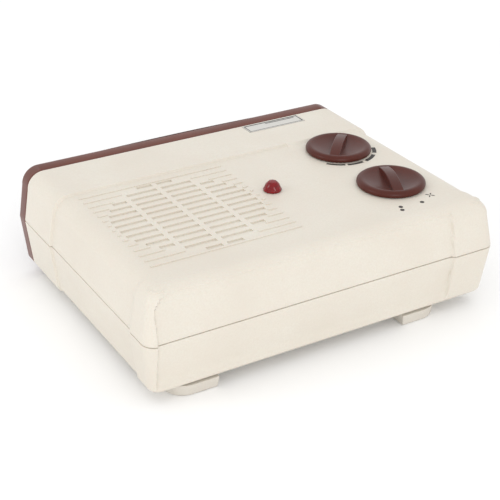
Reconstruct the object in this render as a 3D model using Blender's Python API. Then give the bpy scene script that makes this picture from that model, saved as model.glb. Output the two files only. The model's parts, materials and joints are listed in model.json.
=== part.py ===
"""Flat fan heater with a ceramic (PTC) element, modelled as its separate pieces.

Frame: metres, +Z up, the air outlet faces -Y, the intake is on the +X side of
the top and the two knobs are on its -X side. The origin is under the middle
of the heater, on the surface that the feet stand on.
"""
import math

import bmesh
import bpy
from mathutils import Matrix, Vector

# --- Driving dimensions (metres) -------------------------------------------
BODY_WIDTH = 0.250          # across the seam, where the housing is widest
BODY_DEPTH = 0.183          # cream housing, front edge to the rear of the seam
OUTLET_DEPTH = 0.015        # brown outlet cover, at the middle of its bow
OUTLET_BOW = 0.005          # how far the middle of that cover stands forward
LOWER_HEIGHT = 0.035        # bottom shell
UPPER_HEIGHT = 0.0336       # top shell, up to the raised front collar
FOOT_HEIGHT = 0.008
COLLAR_DEPTH = 0.042        # the raised collar behind the outlet cover
COLLAR_RISE = 0.0015

WALL = 0.0025               # both shells
OUTLET_WALL = 0.0035        # front wall of the outlet cover
SEAM_GAP = 0.0006
FIT = 0.0003                # clearance between pieces that meet
PAST = 0.002                # how far a cutting tool reaches past what it opens
UPPER_DRAFT = 0.0048
LOWER_DRAFT = 0.0035
TOP_FILLET = 0.0105
BOTTOM_FILLET = 0.005
CORNER_RADIUS = 0.009       # upright rear corners
ROUND_STEPS = 3             # facets in a quarter turn

INTAKE_RADIUS = 0.0482
INTAKE_OFF_MIDDLE = 0.0082  # how far the intake lies behind the middle of the housing
SLOT_PITCH = 0.00716
SLOT_WIDTH = 0.0034
SLOT_ROWS = 14
BRIDGE_PITCH = 0.0246
BRIDGE_WIDTH = 0.0034
SHORTEST_SLOT = 0.003

KNOB_RADIUS = 0.0225
KNOB_RIM = 0.0045
KNOB_LIFT = 0.0007              # clearance under a knob's skirt
KNOB_TO_COLLAR = 0.0021
KNOB_TO_KNOB = 0.0169
THERMOSTAT_FROM_SIDE = 0.0452
SELECTOR_FROM_SIDE = 0.0462
GRIP_WIDTH = 0.007
GRIP_PEAK = 0.0073
HUB_RADIUS = 0.0052
HUB_HOLE_GAP = 0.0008
HUB_DROP = 0.0055
SPINDLE_RADIUS = 0.003
SPINDLE_TOP = 0.0006            # above the panel, inside the knob
THERMOSTAT_POINTER = math.radians(47)   # where each grip points at rest
SELECTOR_POINTER = math.radians(69)

LENS_RADIUS = 0.006
LENS_HEIGHT = 0.0068
LENS_DEPTH = 0.012              # its stem, below the panel
LAMP_HOLE = 0.0045
LAMP_DROP = 0.003               # how far the lamp hangs out of the stem

PLATE_SIZE = (0.0455, 0.0116, 0.0005)
PLATE_RECESS = 0.0006
PLATE_FROM_SIDE = 0.061
PLATE_FROM_FRONT = 0.0074

FOOT_WIDTH = 0.031
FOOT_LENGTH = 0.028
FOOT_DRAFT = 0.001
FOOT_PIN = 0.003
FOOT_PIN_RISE = 0.0015
FOOT_REAR = 0.0186              # foot centres, from the housing's rear and front
FOOT_FRONT = 0.021
FOOT_RIGHT = 0.048              # flat sides, from the housing's right and left
FOOT_LEFT = 0.068

BOSS_RADIUS = 0.005
SCREW_RADIUS = 0.0015
SCREW_HEAD_RADIUS = 0.0029
SCREW_HEAD_HEIGHT = 0.0018
SCREW_POINT = 0.0015
CASE_SCREW_SIDE = 0.013
CASE_SCREW_REAR = 0.013
CASE_SCREW_FRONT = 0.018
CASE_SCREW_DROP = 0.013         # from the seam down to the seat
CASE_SCREW_LENGTH = 0.024

WHEEL_RADIUS = 0.043
WHEEL_TO_SIDE = 0.0273
WHEEL_GAP = 0.0015              # over the deck
WHEEL_TOP_GAP = 0.0031          # under the top shell
DISC_THICKNESS = 0.0016
WHEEL_HUB = 0.016               # height of its hub
BLADE_COUNT = 20
BLADE_THICKNESS = 0.0013
BLADE_LENGTH = 0.011
SHAFT_RADIUS = 0.002
ROTOR_RADIUS = 0.012
ROTOR_GAP = 0.0004
MOTOR_LIFT = 0.008              # from the shell's floor to the stator
STATOR_HEIGHT = 0.014
MOTOR_SCREW_SPREAD = 0.0175
MOTOR_TO_DECK = 0.007
COIL_REACH = 0.0505             # from the shaft to the coil's rear face

DECK_THICKNESS = 0.0015
SCROLL_WALL = 0.002
SCROLL_GAP = 0.003              # from the wheel to the tongue
SCROLL_GROWTH = 0.0075          # how much further out the far end of the spiral is
SCROLL_TOP_GAP = 0.0004
DUCT_FROM_LEFT = 0.091
DUCT_INSET = 0.0027             # its right wall, inside the tongue's circle
DUCT_BEHIND = 0.0007            # its back edge, past the tongue's circle
DUCT_LIFT = 0.0025

HEATER_DEPTH = 0.024
HEATER_GAP = 0.0005             # from the duct's end to the heater
HEATER_LIFT = 0.0027
HEATER_TOP_GAP = 0.002
FRAME_END = 0.005
FRAME_RAIL = 0.0028
PTC_COUNT = 3
PTC_HEIGHT = 0.0025
PTC_DEPTH = 0.014
TAB_HALF = 0.00315
TAB_THICKNESS = 0.0008
TAB_REACH = 0.006
FIN_DEPTH = 0.016
FIN_PITCH = 0.0055
FIN_THICKNESS = 0.0006
SPIGOT_LENGTH = 0.005
SPIGOT_WALL = 0.002
SPIGOT_LAP = 0.001              # how far the cover's wall reaches over the spigot
SPIGOT_TO_HEATER = 0.003

INLET_RADIUS = 0.006
INLET_FLANGE = 0.0082
INLET_BORE = 0.0036
INLET_PAD = 0.0115              # half the size of the square pad behind the inlet
INLET_SEAT = 0.0035             # flat seat for the flange, in from the widest line
INLET_LENGTH = 0.009
INLET_FROM_REAR = 0.039
INLET_LIFT = 0.018

CLAMP_FROM_SIDE = 0.021
CLAMP_SPREAD = 0.010
CLAMP_DROP = 0.0045             # from the cord's axis down to the clamp posts
CLAMP_SCREW_LENGTH = 0.010
POST_RADIUS = 0.0036

TERMINAL_FROM_SIDE = 0.047
TERMINAL_FROM_REAR = 0.033
TERMINAL_PITCH = 0.0125
TERMINAL_HEIGHT = 0.0155

WIRE_RADIUS = 0.0011
WIRE_STUB = 0.006               # straight length at a terminal

# --- Derived places ---------------------------------------------------------
HALF_WIDTH = BODY_WIDTH / 2
FRONT_Y = -(BODY_DEPTH + OUTLET_DEPTH) / 2 + OUTLET_DEPTH
REAR_Y = FRONT_Y + BODY_DEPTH
FLOOR_Z = FOOT_HEIGHT
FLOOR_TOP = FLOOR_Z + WALL
SEAM_Z = FLOOR_Z + LOWER_HEIGHT
COLLAR_Z = SEAM_Z + UPPER_HEIGHT
PANEL_Z = COLLAR_Z - COLLAR_RISE
CEILING_Z = PANEL_Z - WALL
PILOT_RADIUS = SCREW_RADIUS + FIT

STATOR_BASE = FLOOR_TOP + MOTOR_LIFT
STATOR_TOP = STATOR_BASE + STATOR_HEIGHT
DECK_BASE = STATOR_TOP + MOTOR_TO_DECK
DECK_TOP = DECK_BASE + DECK_THICKNESS
WHEEL_BASE = DECK_TOP + WHEEL_GAP
WHEEL_TOP = CEILING_Z - WHEEL_TOP_GAP
BLADE_INNER = WHEEL_RADIUS - BLADE_LENGTH
SCROLL_START = WHEEL_RADIUS + SCROLL_GAP
SCROLL_END = SCROLL_START + SCROLL_GROWTH

INTAKE_XY = (HALF_WIDTH - WHEEL_RADIUS - WHEEL_TO_SIDE, (FRONT_Y + REAR_Y) / 2 + INTAKE_OFF_MIDDLE)
THERMOSTAT_XY = (-HALF_WIDTH + THERMOSTAT_FROM_SIDE, FRONT_Y + COLLAR_DEPTH + KNOB_TO_COLLAR + KNOB_RADIUS)
SELECTOR_XY = (-HALF_WIDTH + SELECTOR_FROM_SIDE, THERMOSTAT_XY[1] + 2 * KNOB_RADIUS + KNOB_TO_KNOB)
LAMP_FROM_INTAKE = max(SCROLL_END + SCROLL_WALL + 0.0065, INTAKE_RADIUS + 0.0138)
LAMP_XY = (INTAKE_XY[0] - LAMP_FROM_INTAKE, INTAKE_XY[1] - 0.0015)
PLATE_XY = (-HALF_WIDTH + PLATE_FROM_SIDE, FRONT_Y + PLATE_FROM_FRONT)

DUCT_LEFT = -HALF_WIDTH + DUCT_FROM_LEFT
DUCT_RIGHT = INTAKE_XY[0] + SCROLL_START - DUCT_INSET
DUCT_BACK = INTAKE_XY[1] - SCROLL_START - DUCT_BEHIND
DUCT_FRONT = FRONT_Y + SPIGOT_LENGTH + SPIGOT_TO_HEATER + HEATER_DEPTH + HEATER_GAP
DUCT_FLOOR = FLOOR_TOP + DUCT_LIFT
HEATER_BASE = FLOOR_TOP + HEATER_LIFT
HEATER_TOP = CEILING_Z - HEATER_TOP_GAP
HEATER_BACK = DUCT_FRONT - HEATER_GAP
HEATER_MIDDLE = HEATER_BACK - HEATER_DEPTH / 2
CUTOUT_YZ = (DUCT_FRONT + 0.010, CEILING_Z - 0.0146)
DECK_SCREW_FRONT = WHEEL_RADIUS - 0.0053      # how far the deck's screws are in front of the fan
DECK_POSTS = [(INTAKE_XY[0] + x, INTAKE_XY[1] + y)
              for x, y in ((-0.0327, 0.0243), (0.0333, 0.0243),
                           (-WHEEL_RADIUS - 0.0017, -DECK_SCREW_FRONT), (WHEEL_RADIUS - 0.0077, -DECK_SCREW_FRONT))]

CASE_SCREWS = [(side * (HALF_WIDTH - CASE_SCREW_SIDE), y)
               for y in (REAR_Y - CASE_SCREW_REAR, FRONT_Y + CASE_SCREW_FRONT) for side in (1, -1)]
CASE_SCREW_SEAT = SEAM_Z - CASE_SCREW_DROP
FEET = {                       # flat side of each foot, its centre, and which way it bulges
    "foot_rear_right": (HALF_WIDTH - FOOT_RIGHT, REAR_Y - FOOT_REAR, 1),
    "foot_rear_left": (-HALF_WIDTH + FOOT_LEFT, REAR_Y - FOOT_REAR, -1),
    "foot_front_right": (HALF_WIDTH - FOOT_RIGHT, FRONT_Y + FOOT_FRONT, 1),
    "foot_front_left": (-HALF_WIDTH + FOOT_LEFT, FRONT_Y + FOOT_FRONT, -1),
}

INLET_Y = REAR_Y - INLET_FROM_REAR
INLET_Z = FLOOR_Z + INLET_LIFT
INLET_FACE = -HALF_WIDTH + INLET_SEAT
CLAMP_X = -HALF_WIDTH + CLAMP_FROM_SIDE
CLAMP_POSTS = [(CLAMP_X, INLET_Y - CLAMP_SPREAD), (CLAMP_X, INLET_Y + CLAMP_SPREAD)]
CLAMP_SEAT = INLET_Z - CLAMP_DROP
TERMINAL_XY = (-HALF_WIDTH + TERMINAL_FROM_SIDE, REAR_Y - TERMINAL_FROM_REAR)

FINISHES = {
    "cream_shell": ("EDE6D8", 0.42, 0.0),
    "brown_trim": ("54302A", 0.38, 0.0),
    "brown_knob": ("4E2A25", 0.34, 0.0),
    "nameplate": ("DBD9D4", 0.42, 0.8),
    "red_lens": ("A80F18", 0.12, 0.0),
    "lamp_glass": ("E8C9A8", 0.10, 0.0),
    "steel": ("B4B6B8", 0.35, 1.0),
    "laminated_steel": ("7D7F82", 0.50, 1.0),
    "winding": ("A5562B", 0.45, 0.3),
    "aluminium": ("C9CBCD", 0.38, 1.0),
    "ceramic": ("8E8A84", 0.70, 0.0),
    "white_ceramic": ("E9E5DC", 0.55, 0.0),
    "black_moulding": ("24211F", 0.50, 0.0),
    "brass": ("B9975A", 0.32, 1.0),
    "fan_moulding": ("434140", 0.48, 0.0),
    "wire_red": ("8C1D18", 0.45, 0.0),
    "wire_black": ("1B1A1A", 0.45, 0.0),
}


# --- Mesh tools ---------------------------------------------------------------
def srgb_to_linear(value):
    value /= 255.0
    return value / 12.92 if value <= 0.04045 else ((value + 0.055) / 1.055) ** 2.4


def make_material(name, finish):
    """A Principled material in one of the object's finishes."""
    colour, roughness, metallic = FINISHES[finish]
    rgb = [srgb_to_linear(int(colour[i:i + 2], 16)) for i in (0, 2, 4)]
    material = bpy.data.materials.new(name)
    material.use_nodes = True
    shader = material.node_tree.nodes["Principled BSDF"]
    shader.inputs["Base Color"].default_value = (*rgb, 1.0)
    shader.inputs["Roughness"].default_value = roughness
    shader.inputs["Metallic"].default_value = metallic
    material.diffuse_color = (*rgb, 1.0)
    return material


def close_up(bm):
    """Weld doubles and point every face outwards."""
    bmesh.ops.remove_doubles(bm, verts=bm.verts, dist=1e-7)
    bmesh.ops.recalc_face_normals(bm, faces=bm.faces)
    return bm


def loft(rings):
    """A closed solid through rings of equally many points, capped at both ends."""
    bm = bmesh.new()
    loops = [[bm.verts.new(point) for point in ring] for ring in rings]
    count = len(loops[0])
    for lower, upper in zip(loops, loops[1:]):
        for i in range(count):
            j = (i + 1) % count
            bm.faces.new((lower[i], lower[j], upper[j], upper[i]))
    bm.faces.new(loops[0])
    bm.faces.new(loops[-1])
    return close_up(bm)


def prism(outline, low, high, axis="Z"):
    """An outline of (a, b) pairs extruded along one axis.

    The pair is (x, y) for Z, (x, z) for Y and (y, z) for X.
    """
    place = {
        "Z": lambda a, b, c: (a, b, c),
        "Y": lambda a, b, c: (a, c, b),
        "X": lambda a, b, c: (c, a, b),
    }[axis]
    return loft([[place(a, b, level) for a, b in outline] for level in (low, high)])


def box(low, high):
    """A box between two opposite corners."""
    outline = [(low[0], low[1]), (high[0], low[1]), (high[0], high[1]), (low[0], high[1])]
    return prism(outline, low[2], high[2])


def turned(profile, at=(0, 0), axis="Z", steps=12):
    """A solid of revolution about an axis through at, from (radius, height) pairs.

    A profile that starts and ends on the axis is solid; any other is a closed
    loop around a bore.
    """
    bm = bmesh.new()
    rings = []
    for radius, height in profile:
        if radius == 0:
            rings.append([bm.verts.new((0, 0, height))])
            continue
        turns = [2 * math.pi * i / steps for i in range(steps)]
        rings.append([bm.verts.new((radius * math.cos(t), radius * math.sin(t), height)) for t in turns])
    pairs = list(zip(rings, rings[1:]))
    if len(rings[0]) > 1:
        pairs.append((rings[-1], rings[0]))
    for first, second in pairs:
        for i in range(steps):
            j = (i + 1) % steps
            corners = [first[i % len(first)], first[j % len(first)],
                       second[j % len(second)], second[i % len(second)]]
            corners = list(dict.fromkeys(corners))
            if len(corners) > 2:
                bm.faces.new(corners)
    close_up(bm)
    if axis == "X":
        move(bm, Matrix.Rotation(math.radians(90), 4, "Y"))
        return move(bm, Matrix.Translation((0, at[0], at[1])))
    if axis == "Y":
        move(bm, Matrix.Rotation(math.radians(-90), 4, "X"))
        return move(bm, Matrix.Translation((at[0], 0, at[1])))
    return move(bm, Matrix.Translation((at[0], at[1], 0)))


def rod(radius, low, high, at=(0, 0), axis="Z", steps=12):
    """A plain cylinder."""
    return turned([(0, low), (radius, low), (radius, high), (0, high)], at, axis, steps)


def move(bm, matrix):
    bmesh.ops.transform(bm, matrix=matrix, verts=bm.verts)
    return bm


def gather(parts):
    """Several separate solids as one mesh, to cut or to add in one go."""
    joined = bmesh.new()
    for part in parts:
        mesh = bpy.data.meshes.new("part")
        part.to_mesh(mesh)
        part.free()
        joined.from_mesh(mesh)
        bpy.data.meshes.remove(mesh)
    return joined


def combine(base, tool, operation):
    """base with tool taken away ('DIFFERENCE'), added ('UNION') or kept ('INTERSECT')."""
    objects = []
    for name, bm in (("base", base), ("tool", tool)):
        mesh = bpy.data.meshes.new(name)
        bm.to_mesh(mesh)
        bm.free()
        obj = bpy.data.objects.new(name, mesh)
        bpy.context.scene.collection.objects.link(obj)
        objects.append(obj)
    modifier = objects[0].modifiers.new("combine", "BOOLEAN")
    modifier.operation = operation
    modifier.solver = "EXACT"
    modifier.object = objects[1]
    depsgraph = bpy.context.evaluated_depsgraph_get()
    mesh = bpy.data.meshes.new_from_object(objects[0].evaluated_get(depsgraph))
    result = bmesh.new()
    result.from_mesh(mesh)
    for obj in objects:
        old = obj.data
        bpy.data.objects.remove(obj)
        bpy.data.meshes.remove(old)
    bpy.data.meshes.remove(mesh)
    bmesh.ops.dissolve_degenerate(result, dist=1e-6, edges=result.edges)
    return result


def cut(base, *tools):
    return combine(base, gather(tools), "DIFFERENCE")


def add(base, *tools):
    return combine(base, gather(tools), "UNION")


def piece(name, bm, finish, parent=None, smooth=35):
    """One named object of the heater, with its own material."""
    mesh = bpy.data.meshes.new(name)
    bm.to_mesh(mesh)
    bm.free()
    mesh.shade_smooth()
    mesh.set_sharp_from_angle(angle=math.radians(smooth))
    mesh.materials.append(make_material(name, finish))
    obj = bpy.data.objects.new(name, mesh)
    bpy.context.scene.collection.objects.link(obj)
    obj.parent = parent
    return obj


def axis_empty(name, place):
    """The empty on a moving body's axis; its pieces are drawn around its origin."""
    empty = bpy.data.objects.new(name, None)
    empty.location = place
    bpy.context.scene.collection.objects.link(empty)
    return empty


def offset_outline(outline, distance):
    """A counterclockwise outline moved outwards by distance, corners kept sharp."""
    result = []
    count = len(outline)
    for i, corner in enumerate(outline):
        before = (Vector(corner) - Vector(outline[i - 1])).normalized()
        after = (Vector(outline[(i + 1) % count]) - Vector(corner)).normalized()
        normal_before = Vector((before.y, -before.x))
        normal_after = Vector((after.y, -after.x))
        middle = (normal_before + normal_after).normalized()
        result.append(tuple(Vector(corner) + middle * distance / middle.dot(normal_after)))
    return result


def screw(name, at, seat, length, finish="steel", head_down=True):
    """A pan-head screw along Z; seat is the plane under its head."""
    way = 1 if head_down else -1
    head = seat - way * SCREW_HEAD_HEIGHT
    edge = SCREW_HEAD_HEIGHT / 3
    profile = [(0, head), (SCREW_HEAD_RADIUS - edge, head), (SCREW_HEAD_RADIUS, head + way * edge),
               (SCREW_HEAD_RADIUS, seat), (SCREW_RADIUS, seat),
               (SCREW_RADIUS, seat + way * (length - SCREW_POINT)), (0, seat + way * length)]
    piece(name, turned(profile, at), finish)


# --- Housing -----------------------------------------------------------------
SMALLEST_CORNER = 0.002


def quarter(radius, centre_half, centre_z, way):
    """Levels of a rounded edge, from the upright wall over to the flat face."""
    levels = []
    for i in range(ROUND_STEPS + 1):
        angle = math.radians(90) * i / ROUND_STEPS
        levels.append((centre_half + radius * math.cos(angle), centre_z + way * radius * math.sin(angle)))
    return levels


def upper_levels(offset, top, start):
    """(half width, z) of the top shell's wall, from the seam to its top face."""
    half = HALF_WIDTH - offset
    radius = TOP_FILLET - offset
    return [(half, start)] + quarter(radius, half - UPPER_DRAFT - radius, top - radius, 1)


def lower_levels(offset, bottom, start):
    """(half width, z) of the bottom shell's wall, from the seam to its floor."""
    half = HALF_WIDTH - offset
    radius = BOTTOM_FILLET - offset
    return [(half, start)] + quarter(radius, half - LOWER_DRAFT - radius, bottom + radius, -1)


def housing(levels, offset, front):
    """The closed block inside a shell's wall: two rounded rear corners, a flat front."""
    rings = []
    for half, z in levels:
        inset = HALF_WIDTH - offset - half
        rear = REAR_Y - offset - inset
        radius = max(CORNER_RADIUS - offset - inset / 2, SMALLEST_CORNER)
        ring = [(-half, front, z)]
        for side, start in ((-1, math.radians(180)), (1, math.radians(90))):
            centre = (side * (half - radius), rear - radius)
            for i in range(ROUND_STEPS + 1):
                angle = start - math.radians(90) * i / ROUND_STEPS
                ring.append((centre[0] + radius * math.cos(angle), centre[1] + radius * math.sin(angle), z))
        ring.append((half, front, z))
        rings.append(ring)
    return loft(rings)


def intake_slots():
    """Boxes for the intake: rows across a circle, broken by three bridges."""
    tools = []
    for row in range(SLOT_ROWS):
        y = (row - (SLOT_ROWS - 1) / 2) * SLOT_PITCH
        half = math.sqrt(INTAKE_RADIUS ** 2 - y ** 2)
        for column in range(-2, 2):
            left = max(-half, column * BRIDGE_PITCH + BRIDGE_WIDTH / 2)
            right = min(half, (column + 1) * BRIDGE_PITCH - BRIDGE_WIDTH / 2)
            if right - left < SHORTEST_SLOT:
                continue
            low = (INTAKE_XY[0] + left, INTAKE_XY[1] + y - SLOT_WIDTH / 2, CEILING_Z - PAST)
            high = (INTAKE_XY[0] + right, INTAKE_XY[1] + y + SLOT_WIDTH / 2, PANEL_Z + PAST)
            tools.append(box(low, high))
    return tools


CONTROL_SCREW_SPREAD = 0.014
CONTROL_SCREW_LENGTH = 0.0052
CONTROL_BOSS_RADIUS = 0.0034
CONTROL_SEAT = CEILING_Z - 0.0036     # underside of the control bosses
PILOT_SKIN = 0.0017                   # left over a blind screw hole in the top


def control_screw_places(centre):
    return [(centre[0] - CONTROL_SCREW_SPREAD, centre[1]), (centre[0] + CONTROL_SCREW_SPREAD, centre[1])]


def make_top_shell():
    """Cream top shell with its intake, bosses and holes; open below and in front."""
    seam = SEAM_Z + SEAM_GAP / 2
    shell = housing(upper_levels(0, COLLAR_Z, seam), 0, FRONT_Y)
    levels = upper_levels(WALL, CEILING_Z, seam)
    hollow = housing([(levels[0][0], seam - PAST)] + levels, WALL, FRONT_Y - PAST)
    panel_cut = box((-BODY_WIDTH, FRONT_Y + COLLAR_DEPTH, PANEL_Z),
                    (BODY_WIDTH, REAR_Y + PAST, COLLAR_Z + PAST))
    shell = cut(shell, hollow)
    shell = cut(shell, panel_cut)
    bosses = [rod(BOSS_RADIUS, SEAM_Z + FIT, CEILING_Z + WALL / 2, at) for at in CASE_SCREWS]
    for centre in (THERMOSTAT_XY, SELECTOR_XY):
        for at in control_screw_places(centre):
            bosses.append(rod(CONTROL_BOSS_RADIUS, CONTROL_SEAT, CEILING_Z + WALL / 2, at))
    shell = add(shell, *bosses)
    screw_tip = CASE_SCREW_SEAT + CASE_SCREW_LENGTH
    tools = [rod(PILOT_RADIUS, SEAM_Z - PAST, screw_tip + PAST / 2, at) for at in CASE_SCREWS]
    for centre in (THERMOSTAT_XY, SELECTOR_XY):
        tools += [rod(PILOT_RADIUS, CONTROL_SEAT - PAST, PANEL_Z - PILOT_SKIN, at)
                  for at in control_screw_places(centre)]
        tools.append(rod(HUB_RADIUS + HUB_HOLE_GAP, CEILING_Z - PAST, PANEL_Z + PAST, centre, steps=24))
    tools.append(rod(LAMP_HOLE, CEILING_Z - PAST, PANEL_Z + PAST, LAMP_XY, steps=24))
    half_x = PLATE_SIZE[0] / 2 + FIT
    half_y = PLATE_SIZE[1] / 2 + FIT
    tools.append(box((PLATE_XY[0] - half_x, PLATE_XY[1] - half_y, COLLAR_Z - PLATE_RECESS),
                     (PLATE_XY[0] + half_x, PLATE_XY[1] + half_y, COLLAR_Z + PAST)))
    shell = cut(shell, *tools)
    shell = cut(shell, *intake_slots())
    piece("top_shell", shell, "cream_shell")


PAD_DEPTH = 0.004              # of the inlet's pad, behind the flange's seat
REST_HALF = (0.008, 0.007)     # half the width and depth of a heater rest
REST_INSET = 0.034             # from the duct's walls to the rests' middles
DECK_SCREW_DEPTH = 0.014
CLAMP_SCREW_DEPTH = 0.009
FOOT_PIN_INSET = 0.01302       # from a foot's flat side


def foot_pin(flat_x, way):
    """Where a foot's pin goes up into the bottom shell."""
    return flat_x + way * FOOT_PIN_INSET


def inlet_pad():
    """Thickening inside the drafted -X wall, where the cord inlet goes through it."""
    low, high = INLET_Z - INLET_PAD, INLET_Z + INLET_PAD
    slope = LOWER_DRAFT / (SEAM_Z - FLOOR_Z - BOTTOM_FILLET)
    skin = -HALF_WIDTH + WALL / 2
    back = INLET_FACE + PAD_DEPTH
    outline = [(skin + slope * (SEAM_Z - low), low), (back, low), (back, high),
               (skin + slope * (SEAM_Z - high), high)]
    return prism(outline, INLET_Y - INLET_PAD, INLET_Y + INLET_PAD, "Y")


def make_bottom_shell():
    """Cream bottom shell: posts, screw bosses, heater rests and the cord inlet's seat."""
    seam = SEAM_Z - SEAM_GAP / 2
    shell = housing(lower_levels(0, FLOOR_Z, seam), 0, FRONT_Y)
    levels = lower_levels(WALL, FLOOR_TOP, seam)
    hollow = housing([(levels[0][0], seam + PAST)] + levels, WALL, FRONT_Y - PAST)
    shell = cut(shell, hollow)
    root = FLOOR_TOP - WALL / 2
    solids = [rod(BOSS_RADIUS, root, SEAM_Z - FIT, at) for at in CASE_SCREWS]
    solids += [rod(POST_RADIUS, root, DECK_BASE - FIT, at) for at in DECK_POSTS]
    solids += [rod(POST_RADIUS, root, CLAMP_SEAT, at) for at in CLAMP_POSTS]
    half_x, half_y = REST_HALF
    for x in (DUCT_LEFT + REST_INSET, DUCT_RIGHT - REST_INSET):
        solids.append(box((x - half_x, HEATER_MIDDLE - half_y, root),
                          (x + half_x, HEATER_MIDDLE + half_y, HEATER_BASE - FIT)))
    solids.append(inlet_pad())
    shell = add(shell, *solids)
    tools = []
    head = SCREW_HEAD_RADIUS + 2 * FIT
    below, above = FLOOR_Z - PAST, SEAM_Z + PAST
    for at in CASE_SCREWS:
        tools.append(turned([(0, below), (head, below), (head, CASE_SCREW_SEAT),
                             (PILOT_RADIUS, CASE_SCREW_SEAT), (PILOT_RADIUS, above), (0, above)], at))
    tools += [rod(PILOT_RADIUS, DECK_BASE - DECK_SCREW_DEPTH, DECK_BASE + PAST, at) for at in DECK_POSTS[2:]]
    tools += [rod(PILOT_RADIUS, CLAMP_SEAT - CLAMP_SCREW_DEPTH, CLAMP_SEAT + PAST, at) for at in CLAMP_POSTS]
    for flat_x, y, way in FEET.values():
        tools.append(rod(FOOT_PIN + FIT, below, FLOOR_TOP + PAST, (foot_pin(flat_x, way), y)))
    outside, inside = -HALF_WIDTH - PAST, INLET_FACE + PAD_DEPTH + 2 * PAST
    tools.append(turned([(0, outside), (INLET_FLANGE + FIT, outside), (INLET_FLANGE + FIT, INLET_FACE),
                         (INLET_RADIUS + FIT, INLET_FACE), (INLET_RADIUS + FIT, inside), (0, inside)],
                        (INLET_Y, INLET_Z), "X", steps=20))
    shell = cut(shell, *tools)
    piece("bottom_shell", shell, "cream_shell")


def section(offset, top, bottom):
    """Outline of the housing seen from the front, as (x, z) pairs."""
    right = list(reversed(upper_levels(offset, top, SEAM_Z))) + lower_levels(offset, bottom, SEAM_Z)[1:]
    return right + [(-x, z) for x, z in reversed(right)]


def bowed_plan(depth):
    """Plan of the outlet cover from its back face to a bowed front, depth at its middle."""
    half = HALF_WIDTH + PAST
    steps = 12
    front = []
    for i in range(steps + 1):
        x = half - 2 * half * i / steps
        bow = OUTLET_BOW * (x / HALF_WIDTH) ** 2
        front.append((x, FRONT_Y - depth + bow))
    back = FRONT_Y - FIT
    return [(-half, back), (half, back)] + front


LOUVRE_ROWS = 6
LOUVRE_PITCH = 0.0088
LOUVRE_SLOT = 0.0056
LOUVRE_COLUMNS = 3
LOUVRE_BAR = 0.004
LOUVRE_MARGIN = 0.025       # from the sides of the housing to the slots
LOUVRE_LENGTH = (BODY_WIDTH - 2 * LOUVRE_MARGIN - (LOUVRE_COLUMNS - 1) * LOUVRE_BAR) / LOUVRE_COLUMNS
SPIGOT_ROOT = 0.004         # how far the spigot starts inside the cover


def louvre_grid():
    """(x, z) centres of the outlet's slots."""
    middle = (HEATER_BASE + HEATER_TOP) / 2
    places = []
    for row in range(LOUVRE_ROWS):
        z = middle + (row - (LOUVRE_ROWS - 1) / 2) * LOUVRE_PITCH
        for column in range(LOUVRE_COLUMNS):
            x = (column - (LOUVRE_COLUMNS - 1) / 2) * (LOUVRE_LENGTH + LOUVRE_BAR)
            places.append((x, z))
    return places


def make_outlet_grille():
    """Brown front cover: bowed, louvred, and plugged into both shells by a spigot."""
    front = FRONT_Y - OUTLET_DEPTH - PAST
    back = FRONT_Y + PAST
    cover = prism(section(0, COLLAR_Z, FLOOR_Z), front, back, "Y")
    cover = combine(cover, prism(bowed_plan(OUTLET_DEPTH), 0, COLLAR_Z + PAST), "INTERSECT")
    lap = FIT + SPIGOT_LAP
    hollow = prism(section(WALL + lap, CEILING_Z - lap, FLOOR_TOP + lap), front, back + PAST, "Y")
    depth = OUTLET_DEPTH - OUTLET_WALL
    plan = bowed_plan(depth)
    plan[0] = (plan[0][0], back + PAST / 2)
    plan[1] = (plan[1][0], back + PAST / 2)
    hollow = combine(hollow, prism(plan, 0, COLLAR_Z + PAST), "INTERSECT")
    cover = cut(cover, hollow)
    rim = prism(section(WALL + FIT, CEILING_Z - FIT, FLOOR_TOP + FIT),
                FRONT_Y - SPIGOT_ROOT, FRONT_Y + SPIGOT_LENGTH, "Y")
    inside = FIT + SPIGOT_WALL
    bore = prism(section(WALL + inside, CEILING_Z - inside, FLOOR_TOP + inside),
                 FRONT_Y - SPIGOT_ROOT - PAST, FRONT_Y + SPIGOT_LENGTH + PAST, "Y")
    cover = add(cover, cut(rim, bore))
    tools = []
    for x, z in louvre_grid():
        tools.append(box((x - LOUVRE_LENGTH / 2, front, z - LOUVRE_SLOT / 2),
                         (x + LOUVRE_LENGTH / 2, FRONT_Y - SPIGOT_ROOT, z + LOUVRE_SLOT / 2)))
    cover = cut(cover, *tools)
    piece("front_grille", cover, "brown_trim")


def foot_outline(flat_x, y, way, shrink):
    """A D in plan: flat towards the middle of the heater, round towards its side."""
    radius = FOOT_LENGTH / 2 - shrink
    straight = flat_x + way * (FOOT_WIDTH - FOOT_LENGTH / 2)
    inner = flat_x + way * shrink
    points = [(inner, y - radius)]
    steps = 10
    for i in range(steps + 1):
        angle = math.radians(-90) + math.pi * i / steps
        points.append((straight + way * radius * math.cos(angle), y + radius * math.sin(angle)))
    points.append((inner, y + radius))
    return points


def make_feet():
    for name, (flat_x, y, way) in FEET.items():
        top = FLOOR_Z - FIT
        rings = [[(x, v, z) for x, v in foot_outline(flat_x, y, way, shrink)]
                 for shrink, z in ((FOOT_DRAFT, 0.0), (0.0, top))]
        foot = loft(rings)
        pin = rod(FOOT_PIN, top - PAST, FLOOR_TOP + FOOT_PIN_RISE, (foot_pin(flat_x, way), y))
        piece(name, add(foot, pin), "cream_shell")


def make_case_screws():
    for number, at in enumerate(CASE_SCREWS, 1):
        screw(f"case_screw_{number}", at, CASE_SCREW_SEAT - FIT, CASE_SCREW_LENGTH)


def make_nameplate():
    low = (PLATE_XY[0] - PLATE_SIZE[0] / 2, PLATE_XY[1] - PLATE_SIZE[1] / 2, COLLAR_Z - PLATE_RECESS + FIT)
    high = (low[0] + PLATE_SIZE[0], low[1] + PLATE_SIZE[1], low[2] + PLATE_SIZE[2])
    piece("nameplate", box(low, high), "nameplate")


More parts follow.
